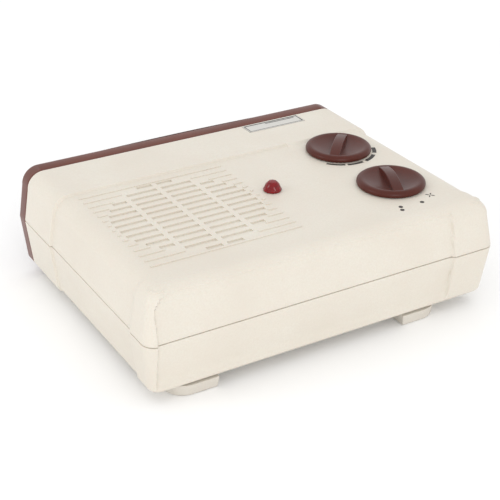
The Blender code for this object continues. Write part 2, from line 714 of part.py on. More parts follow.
def make_indicator():
    """Red jewel lens in the top panel, and the neon lamp that lights it from inside."""
    base = PANEL_Z + FIT
    stem = LAMP_HOLE - FIT
    inner = 0.003
    bottom = PANEL_Z - LENS_DEPTH
    profile = [(0, PANEL_Z + 0.004), (inner, PANEL_Z + 0.003), (inner, bottom), (stem, bottom), (stem, base),
               (LENS_RADIUS, base), (LENS_RADIUS, base + 0.001), (LENS_RADIUS - 0.0003, base + 0.0014),
               (LENS_RADIUS - 0.0014, PANEL_Z + 0.0045), (LENS_RADIUS - 0.0030, PANEL_Z + LENS_HEIGHT - 0.0006),
               (0, PANEL_Z + LENS_HEIGHT)]
    piece("indicator_lens", turned(profile, LAMP_XY, steps=18), "red_lens")
    low = bottom - LAMP_DROP
    lamp = [(0, low), (0.0015, low), (0.0026, bottom - 0.001), (0.0026, PANEL_Z - 0.001),
            (0.0014, PANEL_Z + 0.0018), (0, PANEL_Z + 0.0022)]
    piece("neon_lamp", turned(lamp, LAMP_XY), "lamp_glass")


CLAMP_HALF_WIDTH = 0.004
BLOCK_HALF = (0.020, 0.009)    # half the length and depth of the terminal block
BLOCK_BASE = 0.009
TOWER_HALF = 0.0055
WELL_RADIUS = 0.0024


def make_cord_entry():
    """Inlet bush in the -X wall, the clamp behind it and the mains terminal block."""
    outer = INLET_FACE - FIT
    profile = [(INLET_BORE, outer - 0.0022), (INLET_FLANGE - 0.0012, outer - 0.0022),
               (INLET_FLANGE, outer - 0.001), (INLET_FLANGE, outer), (INLET_RADIUS, outer),
               (INLET_RADIUS, outer + INLET_LENGTH), (INLET_BORE, outer + INLET_LENGTH)]
    piece("cord_inlet", turned(profile, (INLET_Y, INLET_Z), "X", steps=20), "black_moulding")

    seat, half, thick = CLAMP_SEAT + FIT, CLAMP_SPREAD + 0.0045, 0.0028
    side = [(0.0045, 0), (half, 0), (half, thick), (0.0055, thick), (0.004, thick + 0.0014)]
    profile = [(0.0035, 0.0012)] + side
    profile += [(-y, z) for y, z in reversed(profile)]
    clamp = prism([(INLET_Y + y, seat + z) for y, z in profile],
                  CLAMP_X - CLAMP_HALF_WIDTH, CLAMP_X + CLAMP_HALF_WIDTH, "X")
    clamp = cut(clamp, *[rod(PILOT_RADIUS, seat - PAST, seat + thick + PAST, at) for at in CLAMP_POSTS])
    piece("cord_clamp", clamp, "black_moulding")
    for number, at in enumerate(CLAMP_POSTS, 1):
        screw(f"clamp_screw_{number}", at, seat + thick + FIT, CLAMP_SCREW_LENGTH, head_down=False)

    low = FLOOR_TOP + FIT
    x, y = TERMINAL_XY
    half_x, half_y = BLOCK_HALF
    block = box((x - half_x, y - half_y, low), (x + half_x, y + half_y, low + BLOCK_BASE))
    wells_x = [x - TERMINAL_PITCH, x, x + TERMINAL_PITCH]
    towers = [box((at - TOWER_HALF, y - TOWER_HALF, low + BLOCK_BASE / 2),
                  (at + TOWER_HALF, y + TOWER_HALF, low + TERMINAL_HEIGHT))
              for at in wells_x]
    block = add(block, *towers)
    wells = [rod(WELL_RADIUS, low + BLOCK_BASE + 0.001, low + TERMINAL_HEIGHT + PAST, (at, y))
             for at in wells_x]
    piece("terminal_block", cut(block, *wells), "white_ceramic")


# --- Fan and motor --------------------------------------------------------------
TONGUE_TURN = math.radians(-30)
SCROLL_ELBOW = 0.0137          # from the fan's axis to where the duct's left wall starts
SHAFT_HOLE = 0.008
CUTOUT_HOLE = 0.005
DECK_SCREW_LENGTH = 0.012


def scroll_outline():
    """Inside line of the scroll, counterclockwise, from the tongue round to the duct."""
    cx, cy = INTAKE_XY
    points = []
    steps = 14
    start, end = TONGUE_TURN, math.radians(180)
    for i in range(steps + 1):
        share = i / steps
        angle = start + (end - start) * share
        radius = SCROLL_START + (SCROLL_END - SCROLL_START) * share
        points.append((cx + radius * math.cos(angle), cy + radius * math.sin(angle)))
    elbow = (points[-1][0] - 0.001, cy - SCROLL_ELBOW)
    return points + [elbow, (DUCT_LEFT, DUCT_BACK), (DUCT_RIGHT, DUCT_BACK)]


def make_scroll():
    """Fan scroll: floor, spiral wall, and a duct whose floor drops to the heater."""
    inner = scroll_outline()
    outer = offset_outline(inner, SCROLL_WALL)
    outer[-2] = (DUCT_LEFT - SCROLL_WALL, DUCT_BACK)
    outer[-1] = (DUCT_RIGHT + SCROLL_WALL, DUCT_BACK)
    top = CEILING_Z - SCROLL_TOP_GAP
    body = prism(outer, DECK_BASE, top)
    slope = [(DUCT_BACK + 0.001, DECK_BASE), (DUCT_BACK, DECK_BASE), (DUCT_FRONT, DUCT_FLOOR),
             (DUCT_FRONT, top), (DUCT_BACK + 0.001, top)]
    body = add(body, prism(slope, DUCT_LEFT - SCROLL_WALL, DUCT_RIGHT + SCROLL_WALL, "X"))
    opened = list(inner)
    opened[-2] = (DUCT_LEFT, DUCT_BACK - 0.0005)
    opened[-1] = (DUCT_RIGHT, DUCT_BACK - 0.0005)
    body = cut(body, prism(opened, DECK_TOP, top + PAST))
    drop = (DECK_TOP - DUCT_FLOOR) / (DUCT_BACK - DUCT_FRONT)
    hollow = [(DUCT_BACK, DECK_TOP + 0.0004), (DUCT_FRONT - 0.001, DUCT_FLOOR + SCROLL_WALL - 0.001 * drop),
              (DUCT_FRONT - 0.001, top + PAST), (DUCT_BACK, top + PAST)]
    body = cut(body, prism(hollow, DUCT_LEFT, DUCT_RIGHT, "X"))
    holes = [rod(SHAFT_HOLE, DECK_BASE - PAST, DECK_TOP + PAST, INTAKE_XY)]
    for at in motor_screw_places() + DECK_POSTS[2:]:
        holes.append(rod(PILOT_RADIUS, DECK_BASE - PAST, DECK_TOP + PAST, at))
    holes.append(rod(CUTOUT_HOLE, DUCT_LEFT - SCROLL_WALL - PAST, DUCT_LEFT + PAST, CUTOUT_YZ, "X"))
    piece("fan_scroll", cut(body, *holes), "fan_moulding")
    for number, at in enumerate(DECK_POSTS[2:], 1):
        screw(f"scroll_screw_{number}", at, DECK_TOP + FIT, DECK_SCREW_LENGTH, head_down=False)


def motor_screw_places():
    cx, cy = INTAKE_XY
    return [(cx - MOTOR_SCREW_SPREAD, cy), (cx + MOTOR_SCREW_SPREAD, cy)]


CORE_HALF = 0.022              # half the width of the stator's stack
CORE_FRONT = 0.020             # its reach in front of the shaft, and behind it
CORE_REAR = 0.044
WINDOW_HALF = 0.012
WINDOW_FRONT = 0.0165          # the window between the rotor and the coil's leg
LEG_FRONT = 0.034
COIL_HALF = 0.0098
COIL_RISE = 0.0053             # coil and flanges, above and below the stack
COIL_FRONT = 0.0275
FLANGE_RISE = 0.0063
FLANGE_FRONT = 0.0262
FLANGE_REAR = 0.0515
FLANGE_PLACE = 0.0105
FLANGE_HALF = 0.0009
BRACKET_HALF = 0.0215
BRACKET_FOOT = 0.0125
BRACKET_BRIDGE = 0.009
BRACKET_THICKNESS = 0.0012
BRACKET_RISE = 0.0042
BRACKET_HALF_DEPTH = 0.007
BEARING_RADIUS = 0.0045
BEARING_HEIGHT = 0.0033


def make_motor_coil():
    """Coil on the stator's rear leg, between two flanges."""
    cx, cy = INTAKE_XY
    coil = box((cx - COIL_HALF, cy + COIL_FRONT, STATOR_BASE - COIL_RISE),
               (cx + COIL_HALF, cy + COIL_REACH, STATOR_TOP + COIL_RISE))
    flanges = [box((cx + side * FLANGE_PLACE - FLANGE_HALF, cy + FLANGE_FRONT, STATOR_BASE - FLANGE_RISE),
                   (cx + side * FLANGE_PLACE + FLANGE_HALF, cy + FLANGE_REAR, STATOR_TOP + FLANGE_RISE))
               for side in (-1, 1)]
    coil = add(coil, *flanges)
    leg = box((cx - CORE_HALF, cy + LEG_FRONT - FIT, STATOR_BASE - FIT),
              (cx + CORE_HALF, cy + CORE_REAR + FIT, STATOR_TOP + FIT))
    piece("motor_coil", cut(coil, leg), "winding")


def make_motor_bracket(name, face, way):
    """Bridged strap across the stator, and the bearing in its middle."""
    cx, cy = INTAKE_XY
    thick, rise, bend = BRACKET_THICKNESS, BRACKET_RISE, 0.0005
    half = [(BRACKET_BRIDGE, rise), (BRACKET_FOOT, 0), (BRACKET_HALF, 0), (BRACKET_HALF, thick),
            (BRACKET_FOOT - bend, thick), (BRACKET_BRIDGE - bend, rise + thick)]
    line = half + [(-u, w) for u, w in reversed(half)]
    strap = prism([(cx + u, face + way * w) for u, w in line],
                  cy - BRACKET_HALF_DEPTH, cy + BRACKET_HALF_DEPTH, "Y")
    reach = rise + thick + PAST
    holes = [rod(BEARING_RADIUS + FIT, face - reach, face + reach, INTAKE_XY)]
    holes += [rod(PILOT_RADIUS, face - reach, face + reach, at) for at in motor_screw_places()]
    piece(name, cut(strap, *holes), "steel")
    start = face + way * (rise - thick / 2)
    end = start + way * BEARING_HEIGHT
    bore = SHAFT_RADIUS + FIT
    ring = [(bore, start), (BEARING_RADIUS, start), (BEARING_RADIUS, end), (bore, end)]
    piece(name.replace("bracket", "bearing"), turned(ring, INTAKE_XY, steps=16), "brass")


def make_motor():
    """Shaded-pole motor, shaft upright: core, coil, brackets, bearings and screws."""
    cx, cy = INTAKE_XY
    core = box((cx - CORE_HALF, cy - CORE_FRONT, STATOR_BASE), (cx + CORE_HALF, cy + CORE_REAR, STATOR_TOP))
    low, high = STATOR_BASE - PAST, STATOR_TOP + PAST
    window = box((cx - WINDOW_HALF, cy + WINDOW_FRONT, low), (cx + WINDOW_HALF, cy + LEG_FRONT, high))
    core = cut(core, window, rod(ROTOR_RADIUS + ROTOR_GAP, low, high, INTAKE_XY, steps=28),
               *[rod(PILOT_RADIUS, low, high, at) for at in motor_screw_places()])
    piece("stator_core", core, "laminated_steel")
    make_motor_coil()
    make_motor_bracket("motor_bracket_upper", STATOR_TOP + FIT, 1)
    make_motor_bracket("motor_bracket_lower", STATOR_BASE - FIT, -1)
    for number, at in enumerate(motor_screw_places(), 1):
        seat = STATOR_BASE - BRACKET_THICKNESS - 2 * FIT
        screw(f"motor_screw_{number}", at, seat, DECK_TOP - 0.0002 - seat)


BLADE_SWEEP = math.radians(26)
BLADE_END_GAP = 0.0006         # inside the disc's rim
RIM_HEIGHT = 0.002
RIM_WIDTH = 0.007
ROTOR_INSET = 0.0002


def blade_outline(turn):
    """One forward-curved blade in plan: an arc from the inner to the outer radius."""
    steps = 2
    front, back = [], []
    for i in range(steps + 1):
        share = i / steps
        radius = BLADE_INNER + (WHEEL_RADIUS - BLADE_END_GAP - BLADE_INNER) * share
        angle = turn + BLADE_SWEEP * share ** 2
        half = BLADE_THICKNESS / 2 / radius
        front.append((radius * math.cos(angle + half), radius * math.sin(angle + half)))
        back.append((radius * math.cos(angle - half), radius * math.sin(angle - half)))
    return front + list(reversed(back))


def make_fan():
    """Centrifugal wheel, rotor and shaft, drawn around the fan's axis."""
    axis = axis_empty("fan_axis", (INTAKE_XY[0], INTAKE_XY[1], 0))
    bore = SHAFT_RADIUS + FIT
    face, hub_top = WHEEL_BASE + DISC_THICKNESS, WHEEL_BASE + WHEEL_HUB
    disc = [(bore, WHEEL_BASE), (WHEEL_RADIUS, WHEEL_BASE), (WHEEL_RADIUS, face), (0.012, face),
            (0.0065, WHEEL_BASE + 0.006), (0.0055, hub_top), (bore, hub_top)]
    wheel = turned(disc, steps=30)
    low, high = WHEEL_BASE + DISC_THICKNESS / 2, WHEEL_TOP - DISC_THICKNESS / 2
    blades = [prism(blade_outline(2 * math.pi * i / BLADE_COUNT), low, high) for i in range(BLADE_COUNT)]
    wheel = add(wheel, *blades)
    inner, under = WHEEL_RADIUS - RIM_WIDTH, WHEEL_TOP - RIM_HEIGHT
    band = [(inner, under), (WHEEL_RADIUS, under), (WHEEL_RADIUS, WHEEL_TOP), (inner, WHEEL_TOP)]
    wheel = add(wheel, turned(band, steps=30))
    piece("fan_wheel", wheel, "fan_moulding", axis)
    low, high, edge = STATOR_BASE + ROTOR_INSET, STATOR_TOP - ROTOR_INSET, 0.001
    core = [(bore, low), (ROTOR_RADIUS - edge, low), (ROTOR_RADIUS, low + edge), (ROTOR_RADIUS, high - edge),
            (ROTOR_RADIUS - edge, high), (bore, high)]
    piece("motor_rotor", turned(core, steps=28), "laminated_steel", axis)
    piece("motor_shaft", rod(SHAFT_RADIUS, FLOOR_TOP + 2 * FIT, hub_top - FIT), "steel", axis)


# --- Heater ---------------------------------------------------------------------
FUSE_LIFT = 0.0228
CUTOUT_THICKNESS = 0.0052


def heater_stack():
    """Bottom z of each PTC bar and each fin bank inside the frame, and a bank's height."""
    low, high = HEATER_BASE + FRAME_RAIL, HEATER_TOP - FRAME_RAIL
    banks = PTC_COUNT + 1
    fin_height = (high - low - PTC_COUNT * PTC_HEIGHT - (2 * banks) * FIT) / banks
    step = fin_height + PTC_HEIGHT + 2 * FIT
    fins = [low + FIT + i * step for i in range(banks)]
    bars = [z + fin_height + FIT for z in fins[:-1]]
    return bars, fins, fin_height


def make_heater():
    """PTC heater: frame, ceramic bars, folded aluminium fins, cut-out and fuse."""
    bars, fins, fin_height = heater_stack()
    back, middle = HEATER_BACK, HEATER_MIDDLE
    front = back - HEATER_DEPTH
    left, right = DUCT_LEFT - SCROLL_WALL, DUCT_RIGHT + SCROLL_WALL
    inner_left, inner_right = left + FRAME_END, right - FRAME_END
    frame = box((left, front, HEATER_BASE), (right, back, HEATER_TOP))
    window = box((inner_left, front - PAST, HEATER_BASE + FRAME_RAIL),
                 (inner_right, back + PAST, HEATER_TOP - FRAME_RAIL))
    tab_low, tab_high = (PTC_HEIGHT - TAB_THICKNESS) / 2, (PTC_HEIGHT + TAB_THICKNESS) / 2
    slots = [box((left - PAST, middle - TAB_HALF - FIT, z + tab_low - FIT),
                 (inner_left + PAST, middle + TAB_HALF + FIT, z + tab_high + FIT))
             for z in bars]
    frame = cut(frame, window)
    piece("heater_frame", cut(frame, *slots), "black_moulding")
    for number, z in enumerate(bars, 1):
        bar = box((inner_left + FIT, middle - PTC_DEPTH / 2, z),
                  (inner_right - FIT, middle + PTC_DEPTH / 2, z + PTC_HEIGHT))
        tab = box((left - TAB_REACH, middle - TAB_HALF, z + tab_low),
                  (inner_left + 0.001, middle + TAB_HALF, z + tab_high))
        piece(f"ptc_bar_{number}", add(bar, tab), "ceramic")
    length = inner_right - inner_left - 2 * FIT
    folds = 2 * int(length / FIN_PITCH)
    for number, base in enumerate(fins, 1):
        crest = [(inner_left + FIT + length * i / folds, (i % 2) * (fin_height - FIN_THICKNESS))
                 for i in range(folds + 1)]
        outline = [(x, base + z) for x, z in crest]
        outline += [(x, base + z + FIN_THICKNESS) for x, z in reversed(crest)]
        fin = prism(outline, middle - FIN_DEPTH / 2, middle + FIN_DEPTH / 2, "Y")
        piece(f"fin_bank_{number}", fin, "aluminium")

    face = DUCT_LEFT - SCROLL_WALL - FIT
    end = face - CUTOUT_THICKNESS
    disc = [(0, face), (0.0075, face), (0.0075, face - 0.0022), (0.0066, face - 0.0026),
            (0.0066, end), (0, end)]
    piece("thermal_cutout", turned(disc, CUTOUT_YZ, "X", steps=18), "black_moulding")
    front, back, radius = CUTOUT_YZ[0] - 0.007, CUTOUT_YZ[0] + 0.006, 0.002
    fuse = [(0, front), (0.0012, front), (radius, front + 0.001), (radius, back - 0.001),
            (0.0012, back), (0, back)]
    place = (face - radius - FIT, HEATER_BASE + FUSE_LIFT)
    piece("thermal_fuse", turned(fuse, place, "Y", steps=10), "white_ceramic")


# --- Controls ---------------------------------------------------------------------
GRIP_INSET = 0.0032            # from a knob's rim to the ends of its grip
BRACKET_PLATE = 0.0015
PLATE_HALF_DEPTH = 0.010
PLATE_LEFT = 0.018
PLATE_RIGHT = 0.0245
PLATE_BUSH = 0.005
PLATE_BUSH_DROP = 0.006
STACK_OFFSET = 0.0210          # from the spindle to the insulator
STACK_RADIUS = 0.0028
STACK_DROP = 0.0145
ARM_HALF_DEPTH = 0.0045
CONTACT_DROP = 0.0062          # from the thermostat's plate down to its two arms
BIMETAL_DROP = 0.0102


def make_knob(name, axis, pointer):
    """Dished knob with an arched grip across it; z = 0 is the panel."""
    bore, socket = SPINDLE_RADIUS + FIT, SPINDLE_TOP + 0.0004
    dish = [(0, 0.0022), (0.008, 0.0024)]
    dish += [(KNOB_RADIUS - inwards, height) for inwards, height in
             ((0.0085, 0.0031), (0.0053, 0.0042), (0.0037, KNOB_RIM), (0.0020, KNOB_RIM - 0.0003),
              (0.0006, 0.0034), (0, 0.0019), (0.0004, KNOB_LIFT))]
    dish += [(HUB_RADIUS, KNOB_LIFT), (HUB_RADIUS, -HUB_DROP), (bore, -HUB_DROP), (bore, socket), (0, socket)]
    knob = turned(dish, steps=28)
    steps = 8
    reach = KNOB_RADIUS - GRIP_INSET
    crown = []
    for i in range(steps + 1):
        u = reach - 2 * reach * i / steps
        crown.append((u, KNOB_RIM + (GRIP_PEAK - KNOB_RIM) * (1 - (u / reach) ** 2) - 0.0001))
    grip = prism([(-reach, 0.0016), (reach, 0.0016)] + crown, -GRIP_WIDTH / 2, GRIP_WIDTH / 2, "Y")
    knob = add(knob, grip)
    piece(name, move(knob, Matrix.Rotation(pointer, 4, "Z")), "brown_knob", axis)


def make_thermostat():
    """Bimetal thermostat hung under the panel, and the knob and spindle that set it."""
    cx, cy = THERMOSTAT_XY
    axis = axis_empty("thermostat_axis", (cx, cy, PANEL_Z))
    make_knob("thermostat_knob", axis, THERMOSTAT_POINTER)
    top = CONTROL_SEAT - FIT
    under = top - BRACKET_PLATE - FIT
    tip = under - CONTACT_DROP + FIT - PANEL_Z
    spindle = [(0, tip), (0.0012, tip), (0.0020, tip + 0.002), (SPINDLE_RADIUS, tip + 0.003),
               (SPINDLE_RADIUS, SPINDLE_TOP), (0, SPINDLE_TOP)]
    piece("thermostat_spindle", turned(spindle, steps=14), "brass", axis)
    plate = box((cx - PLATE_LEFT, cy - PLATE_HALF_DEPTH, top - BRACKET_PLATE),
                (cx + PLATE_RIGHT, cy + PLATE_HALF_DEPTH, top))
    plate = add(plate, rod(PLATE_BUSH, top - PLATE_BUSH_DROP, top - BRACKET_PLATE / 2, THERMOSTAT_XY))
    low, high = top - PLATE_BUSH_DROP - PAST, top + PAST
    holes = [rod(PILOT_RADIUS, low, high, at) for at in control_screw_places(THERMOSTAT_XY)]
    plate = cut(plate, rod(SPINDLE_RADIUS + FIT, low, high, THERMOSTAT_XY), *holes)
    piece("thermostat_plate", plate, "steel")
    stack = (cx + STACK_OFFSET, cy)
    piece("thermostat_insulator", rod(STACK_RADIUS, under - STACK_DROP, under, stack), "white_ceramic")
    for name, drop, reach, thick, finish in (("contact_arm", CONTACT_DROP, 0.0325, 0.0006, "brass"),
                                             ("bimetal_arm", BIMETAL_DROP, 0.0375, 0.0009, "steel")):
        z = under - drop
        arm = box((stack[0] - reach, cy - ARM_HALF_DEPTH, z - thick),
                  (stack[0] + 0.0042, cy + ARM_HALF_DEPTH, z))
        tip = rod(0.0018, z - thick - 0.0008, z + 0.0004, (stack[0] - reach + 0.003, cy))
        arm = add(arm, tip)
        piece(name, cut(arm, rod(STACK_RADIUS + FIT, z - PAST, z + PAST, stack)), finish)
    for number, at in enumerate(control_screw_places(THERMOSTAT_XY), 1):
        screw(f"thermostat_screw_{number}", at, under, CONTROL_SCREW_LENGTH)


SWITCH_HALF = (0.0095, 0.014)
SWITCH_DROP = 0.0180
EAR_HALF = (0.0185, 0.007)
EAR_THICKNESS = 0.0020
SWITCH_TAB_HALF = (0.0025, 0.0005)
SWITCH_TAB_PLACE = (0.0055, 0.009)
SWITCH_TAB_DROP = 0.0240


def make_selector():
    """Four-way rotary switch hung under the panel, and its knob and spindle."""
    cx, cy = SELECTOR_XY
    axis = axis_empty("selector_axis", (cx, cy, PANEL_Z))
    make_knob("selector_knob", axis, SELECTOR_POINTER)
    low = -SWITCH_DROP
    spindle = [(0, low), (SPINDLE_RADIUS, low), (SPINDLE_RADIUS, SPINDLE_TOP), (0, SPINDLE_TOP)]
    piece("selector_spindle", turned(spindle, steps=14), "brass", axis)
    top = CONTROL_SEAT - FIT
    half_x, half_y = SWITCH_HALF
    body = box((cx - half_x, cy - half_y, top - SWITCH_DROP),
               (cx + half_x, cy + half_y, top - EAR_THICKNESS / 2))
    ear_x, ear_y = EAR_HALF
    ears = box((cx - ear_x, cy - ear_y, top - EAR_THICKNESS), (cx + ear_x, cy + ear_y, top))
    tab_x, tab_y = SWITCH_TAB_HALF
    tabs = [box((cx + x - tab_x, cy + y - tab_y, top - SWITCH_TAB_DROP),
                (cx + x + tab_x, cy + y + tab_y, top - SWITCH_DROP + 0.001))
            for x in (-SWITCH_TAB_PLACE[0], SWITCH_TAB_PLACE[0])
            for y in (-SWITCH_TAB_PLACE[1], SWITCH_TAB_PLACE[1])]
    body = add(body, ears)
    body = add(body, *tabs)
    bore = rod(SPINDLE_RADIUS + FIT, PANEL_Z - SWITCH_DROP - 0.0005, top + PAST, SELECTOR_XY)
    holes = [rod(PILOT_RADIUS, top - EAR_THICKNESS - PAST, top + PAST, at)
             for at in control_screw_places(SELECTOR_XY)]
    piece("selector_switch", cut(body, bore, *holes), "black_moulding")
    for number, at in enumerate(control_screw_places(SELECTOR_XY), 1):
        screw(f"selector_screw_{number}", at, top - EAR_THICKNESS - FIT, CONTROL_SCREW_LENGTH)


# --- Wiring --------------------------------------------------------------------------
def smooth_route(points, steps=4):
    """Points along a Catmull-Rom curve through the chosen ones."""
    path = [Vector(p) for p in points]
    ends = [2 * path[0] - path[1]] + path + [2 * path[-1] - path[-2]]
    route = []
    for a, b, c, d in zip(ends, ends[1:], ends[2:], ends[3:]):
        for i in range(steps):
            t = i / steps
            route.append(0.5 * (2 * b + (c - a) * t + (2 * a - 5 * b + 4 * c - d) * t ** 2
                                + (3 * b - a - 3 * c + d) * t ** 3))
    return route + [path[-1]]


def make_wire(name, points, finish):
    """An insulated wire: a round tube along its route, with filled ends."""
    curve = bpy.data.curves.new(name, "CURVE")
    curve.dimensions = "3D"
    curve.bevel_depth = WIRE_RADIUS
    curve.bevel_resolution = 2
    curve.use_fill_caps = True
    route = smooth_route(points)
    spline = curve.splines.new("POLY")
    spline.points.add(len(route) - 1)
    for point, place in zip(spline.points, route):
        point.co = (*place, 1.0)
    curve.materials.append(make_material(name, finish))
    obj = bpy.data.objects.new(name, curve)
    bpy.context.scene.collection.objects.link(obj)


def make_wiring():
    """Four insulated wires between the terminals, the switch, the heater, the motor and the lamp."""
    cx, cy = SELECTOR_XY
    left, right = cx - SWITCH_TAB_PLACE[0], cx + SWITCH_TAB_PLACE[0]
    front, rear = cy - SWITCH_TAB_PLACE[1], cy + SWITCH_TAB_PLACE[1]
    tab = CONTROL_SEAT - FIT - SWITCH_TAB_DROP - 0.0004
    block = FLOOR_TOP + FIT + TERMINAL_HEIGHT + 0.0005
    x, y = TERMINAL_XY
    live, neutral = x - TERMINAL_PITCH, x + TERMINAL_PITCH
    make_wire("wire_live", [(live, y, block), (live, y, block + WIRE_STUB),
                            (cx - 0.0092, y - 0.006, SEAM_Z - 0.007),
                            (left, rear, tab - WIRE_STUB), (left, rear, tab)], "wire_black")
    coil_x, coil_y = INTAKE_XY[0], INTAKE_XY[1] + COIL_REACH
    run_y, run_z = (coil_y + REAR_Y) / 2 - 0.0006, FLOOR_TOP + 0.0095
    make_wire("wire_neutral", [(neutral, y, block), (neutral, y, block + WIRE_STUB),
                               (neutral + 0.0155, y + 0.008, run_z + 0.008),
                               (coil_x - 0.0647, run_y - 0.002, run_z),
                               (coil_x - 0.0327, run_y, run_z), (coil_x - 0.0107, run_y, run_z),
                               (coil_x, coil_y + 0.0108, run_z + 0.001),
                               (coil_x, coil_y + 0.0005, run_z + 0.002)], "wire_black")
    thermostat_x, thermostat_y = THERMOSTAT_XY
    end_x = DUCT_LEFT - SCROLL_WALL - FIT - CUTOUT_THICKNESS - 0.0005
    end_y, end_z = CUTOUT_YZ
    make_wire("wire_heater", [(right, front, tab), (right, front, tab - 0.007),
                              (thermostat_x + 0.0138, thermostat_y + 0.0294, SEAM_Z - 0.011),
                              (thermostat_x + 0.0218, thermostat_y - 0.0026, SEAM_Z - 0.003),
                              (end_x - 0.010, end_y + 0.0015, end_z - 0.002),
                              (end_x, end_y, end_z)], "wire_red")
    lamp_x, lamp_y = LAMP_XY
    lamp_z = PANEL_Z - LENS_DEPTH - LAMP_DROP - 0.0004
    make_wire("wire_lamp", [(lamp_x, lamp_y, lamp_z), (lamp_x, lamp_y, lamp_z - 0.0066),
                            (lamp_x - 0.0167, lamp_y + 0.0078, SEAM_Z + 0.003),
                            (cx + 0.0268, cy - 0.0005, SEAM_Z - 0.005),
                            (right, rear, tab - WIRE_STUB), (right, rear, tab)], "wire_red")


def main():
    for obj in list(bpy.data.objects):
        bpy.data.objects.remove(obj)
    make_top_shell()
    make_bottom_shell()
    make_outlet_grille()
    make_feet()
    make_case_screws()
    make_nameplate()
    make_indicator()
    make_cord_entry()
    make_scroll()
    make_motor()
    make_fan()
    make_heater()
    make_thermostat()
    make_selector()
    make_wiring()


main()
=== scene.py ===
# %% [markdown]
# # A flat fan heater
# This notebook dresses the jointed model of a small fan heater. It has a cream two-part housing, a brown
# outer cover, a slotted intake in its top, two brown knobs and a red lamp. The solid model is loaded first
# and never moved. Most visible pieces are then made again, finer, in the places that the model gives them, and the
# rest keep the model's shape and only get finishes.
# Sizes are in metres. +Z is up, the outlet faces -Y and the knobs are on the -X side.

# %% Load the jointed model
import json
import math

import bmesh
import bpy
from mathutils import Matrix, Vector


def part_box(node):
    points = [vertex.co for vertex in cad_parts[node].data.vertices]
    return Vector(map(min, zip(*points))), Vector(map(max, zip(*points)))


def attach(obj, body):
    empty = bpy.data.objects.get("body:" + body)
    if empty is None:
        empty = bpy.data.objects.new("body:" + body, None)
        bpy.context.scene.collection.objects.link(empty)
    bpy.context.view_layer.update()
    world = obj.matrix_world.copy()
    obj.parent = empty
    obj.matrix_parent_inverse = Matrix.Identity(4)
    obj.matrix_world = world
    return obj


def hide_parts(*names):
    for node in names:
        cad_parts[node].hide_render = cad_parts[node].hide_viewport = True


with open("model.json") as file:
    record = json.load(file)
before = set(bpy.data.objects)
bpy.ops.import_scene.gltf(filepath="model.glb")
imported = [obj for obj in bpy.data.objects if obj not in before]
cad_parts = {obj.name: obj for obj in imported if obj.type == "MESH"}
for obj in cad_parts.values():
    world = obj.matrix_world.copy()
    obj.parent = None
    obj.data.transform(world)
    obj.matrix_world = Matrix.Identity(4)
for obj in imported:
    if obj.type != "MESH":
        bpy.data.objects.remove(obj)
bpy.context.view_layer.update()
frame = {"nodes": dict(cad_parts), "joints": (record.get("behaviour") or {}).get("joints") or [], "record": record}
joint_places = {joint["name"]: Vector(joint["pos_m"]) for joint in frame["joints"]}
FAN_AXIS = joint_places["fan_spin"]
THERMOSTAT = joint_places["thermostat_turn"]
SELECTOR = joint_places["selector_turn"]
PANEL_TOP = THERMOSTAT.z
MM = 0.001

# %% [markdown]
# ## Camera
# The heater is seen from behind and above, from its +X side. A long lens from 0.8 m away keeps its edges
# nearly parallel. A camera looks along its own -Z, so its three axes are built from the direction it looks
# in and then turned by the small roll.

# %% Place the camera
CAMERA_PLACE = Vector((0.3686, 0.6160, 0.4159))
CAMERA_AZIMUTH = math.radians(30.86)
CAMERA_DIP = math.radians(28.46)
CAMERA_ROLL = math.radians(0.52)
CAMERA_LENS = 88.28


def place_camera():
    """The camera, aimed by two angles and a roll."""
    ahead = Vector((-math.sin(CAMERA_AZIMUTH) * math.cos(CAMERA_DIP),
                    -math.cos(CAMERA_AZIMUTH) * math.cos(CAMERA_DIP), -math.sin(CAMERA_DIP)))
    level_right = ahead.cross(Vector((0, 0, 1))).normalized()
    level_up = level_right.cross(ahead)
    right = level_right * math.cos(CAMERA_ROLL) + level_up * math.sin(CAMERA_ROLL)
    up = level_up * math.cos(CAMERA_ROLL) - level_right * math.sin(CAMERA_ROLL)
    axes = Matrix((right, up, -ahead)).transposed().to_4x4()
    lens = bpy.data.cameras.new("camera")
    lens.lens = CAMERA_LENS
    camera = bpy.data.objects.new("camera", lens)
    camera.matrix_world = Matrix.Translation(CAMERA_PLACE) @ axes
    bpy.context.scene.collection.objects.link(camera)
    bpy.context.scene.camera = camera
    return camera


camera = place_camera()
print("camera looks down by", round(math.degrees(CAMERA_DIP), 1), "degrees")

# %% [markdown]
# ## Two small tools for node trees
# Materials and Geometry Nodes are both trees of nodes. One function adds a node: keyword arguments are its
# settings, and the dictionary fills its inputs with values or with other nodes' outputs. Colours are chosen
# as the hex codes of a paint chart, which are sRGB, and Blender's sockets want linear light.

# %% Node and colour tools


def linear(hex_code):
    """A hex colour in the linear values that Blender's sockets take."""
    channels = [int(hex_code[i:i + 2], 16) / 255 for i in (0, 2, 4)]
    return tuple(c / 12.92 if c <= 0.04045 else ((c + 0.055) / 1.055) ** 2.4 for c in channels) + (1.0,)


def add_node(tree, kind, inputs=None, **settings):
    """Add a node with its settings, then fill or link its inputs by name or number."""
    node = tree.nodes.new(kind)
    for setting, value in settings.items():
        setattr(node, setting, value)
    for key, value in (inputs or {}).items():
        if isinstance(value, bpy.types.NodeSocket):
            tree.links.new(value, node.inputs[key])
        else:
            node.inputs[key].default_value = value
    return node


def new_finish(name, **values):
    """A Principled material with plain values on its sockets, its tree and object coordinates."""
    material = bpy.data.materials.new(name)
    material.use_nodes = True
    tree = material.node_tree
    shader = tree.nodes["Principled BSDF"]
    for socket, value in values.items():
        shader.inputs[socket.replace("_", " ")].default_value = value
    place = add_node(tree, "ShaderNodeTexCoord").outputs["Object"]
    return material, tree, shader, place


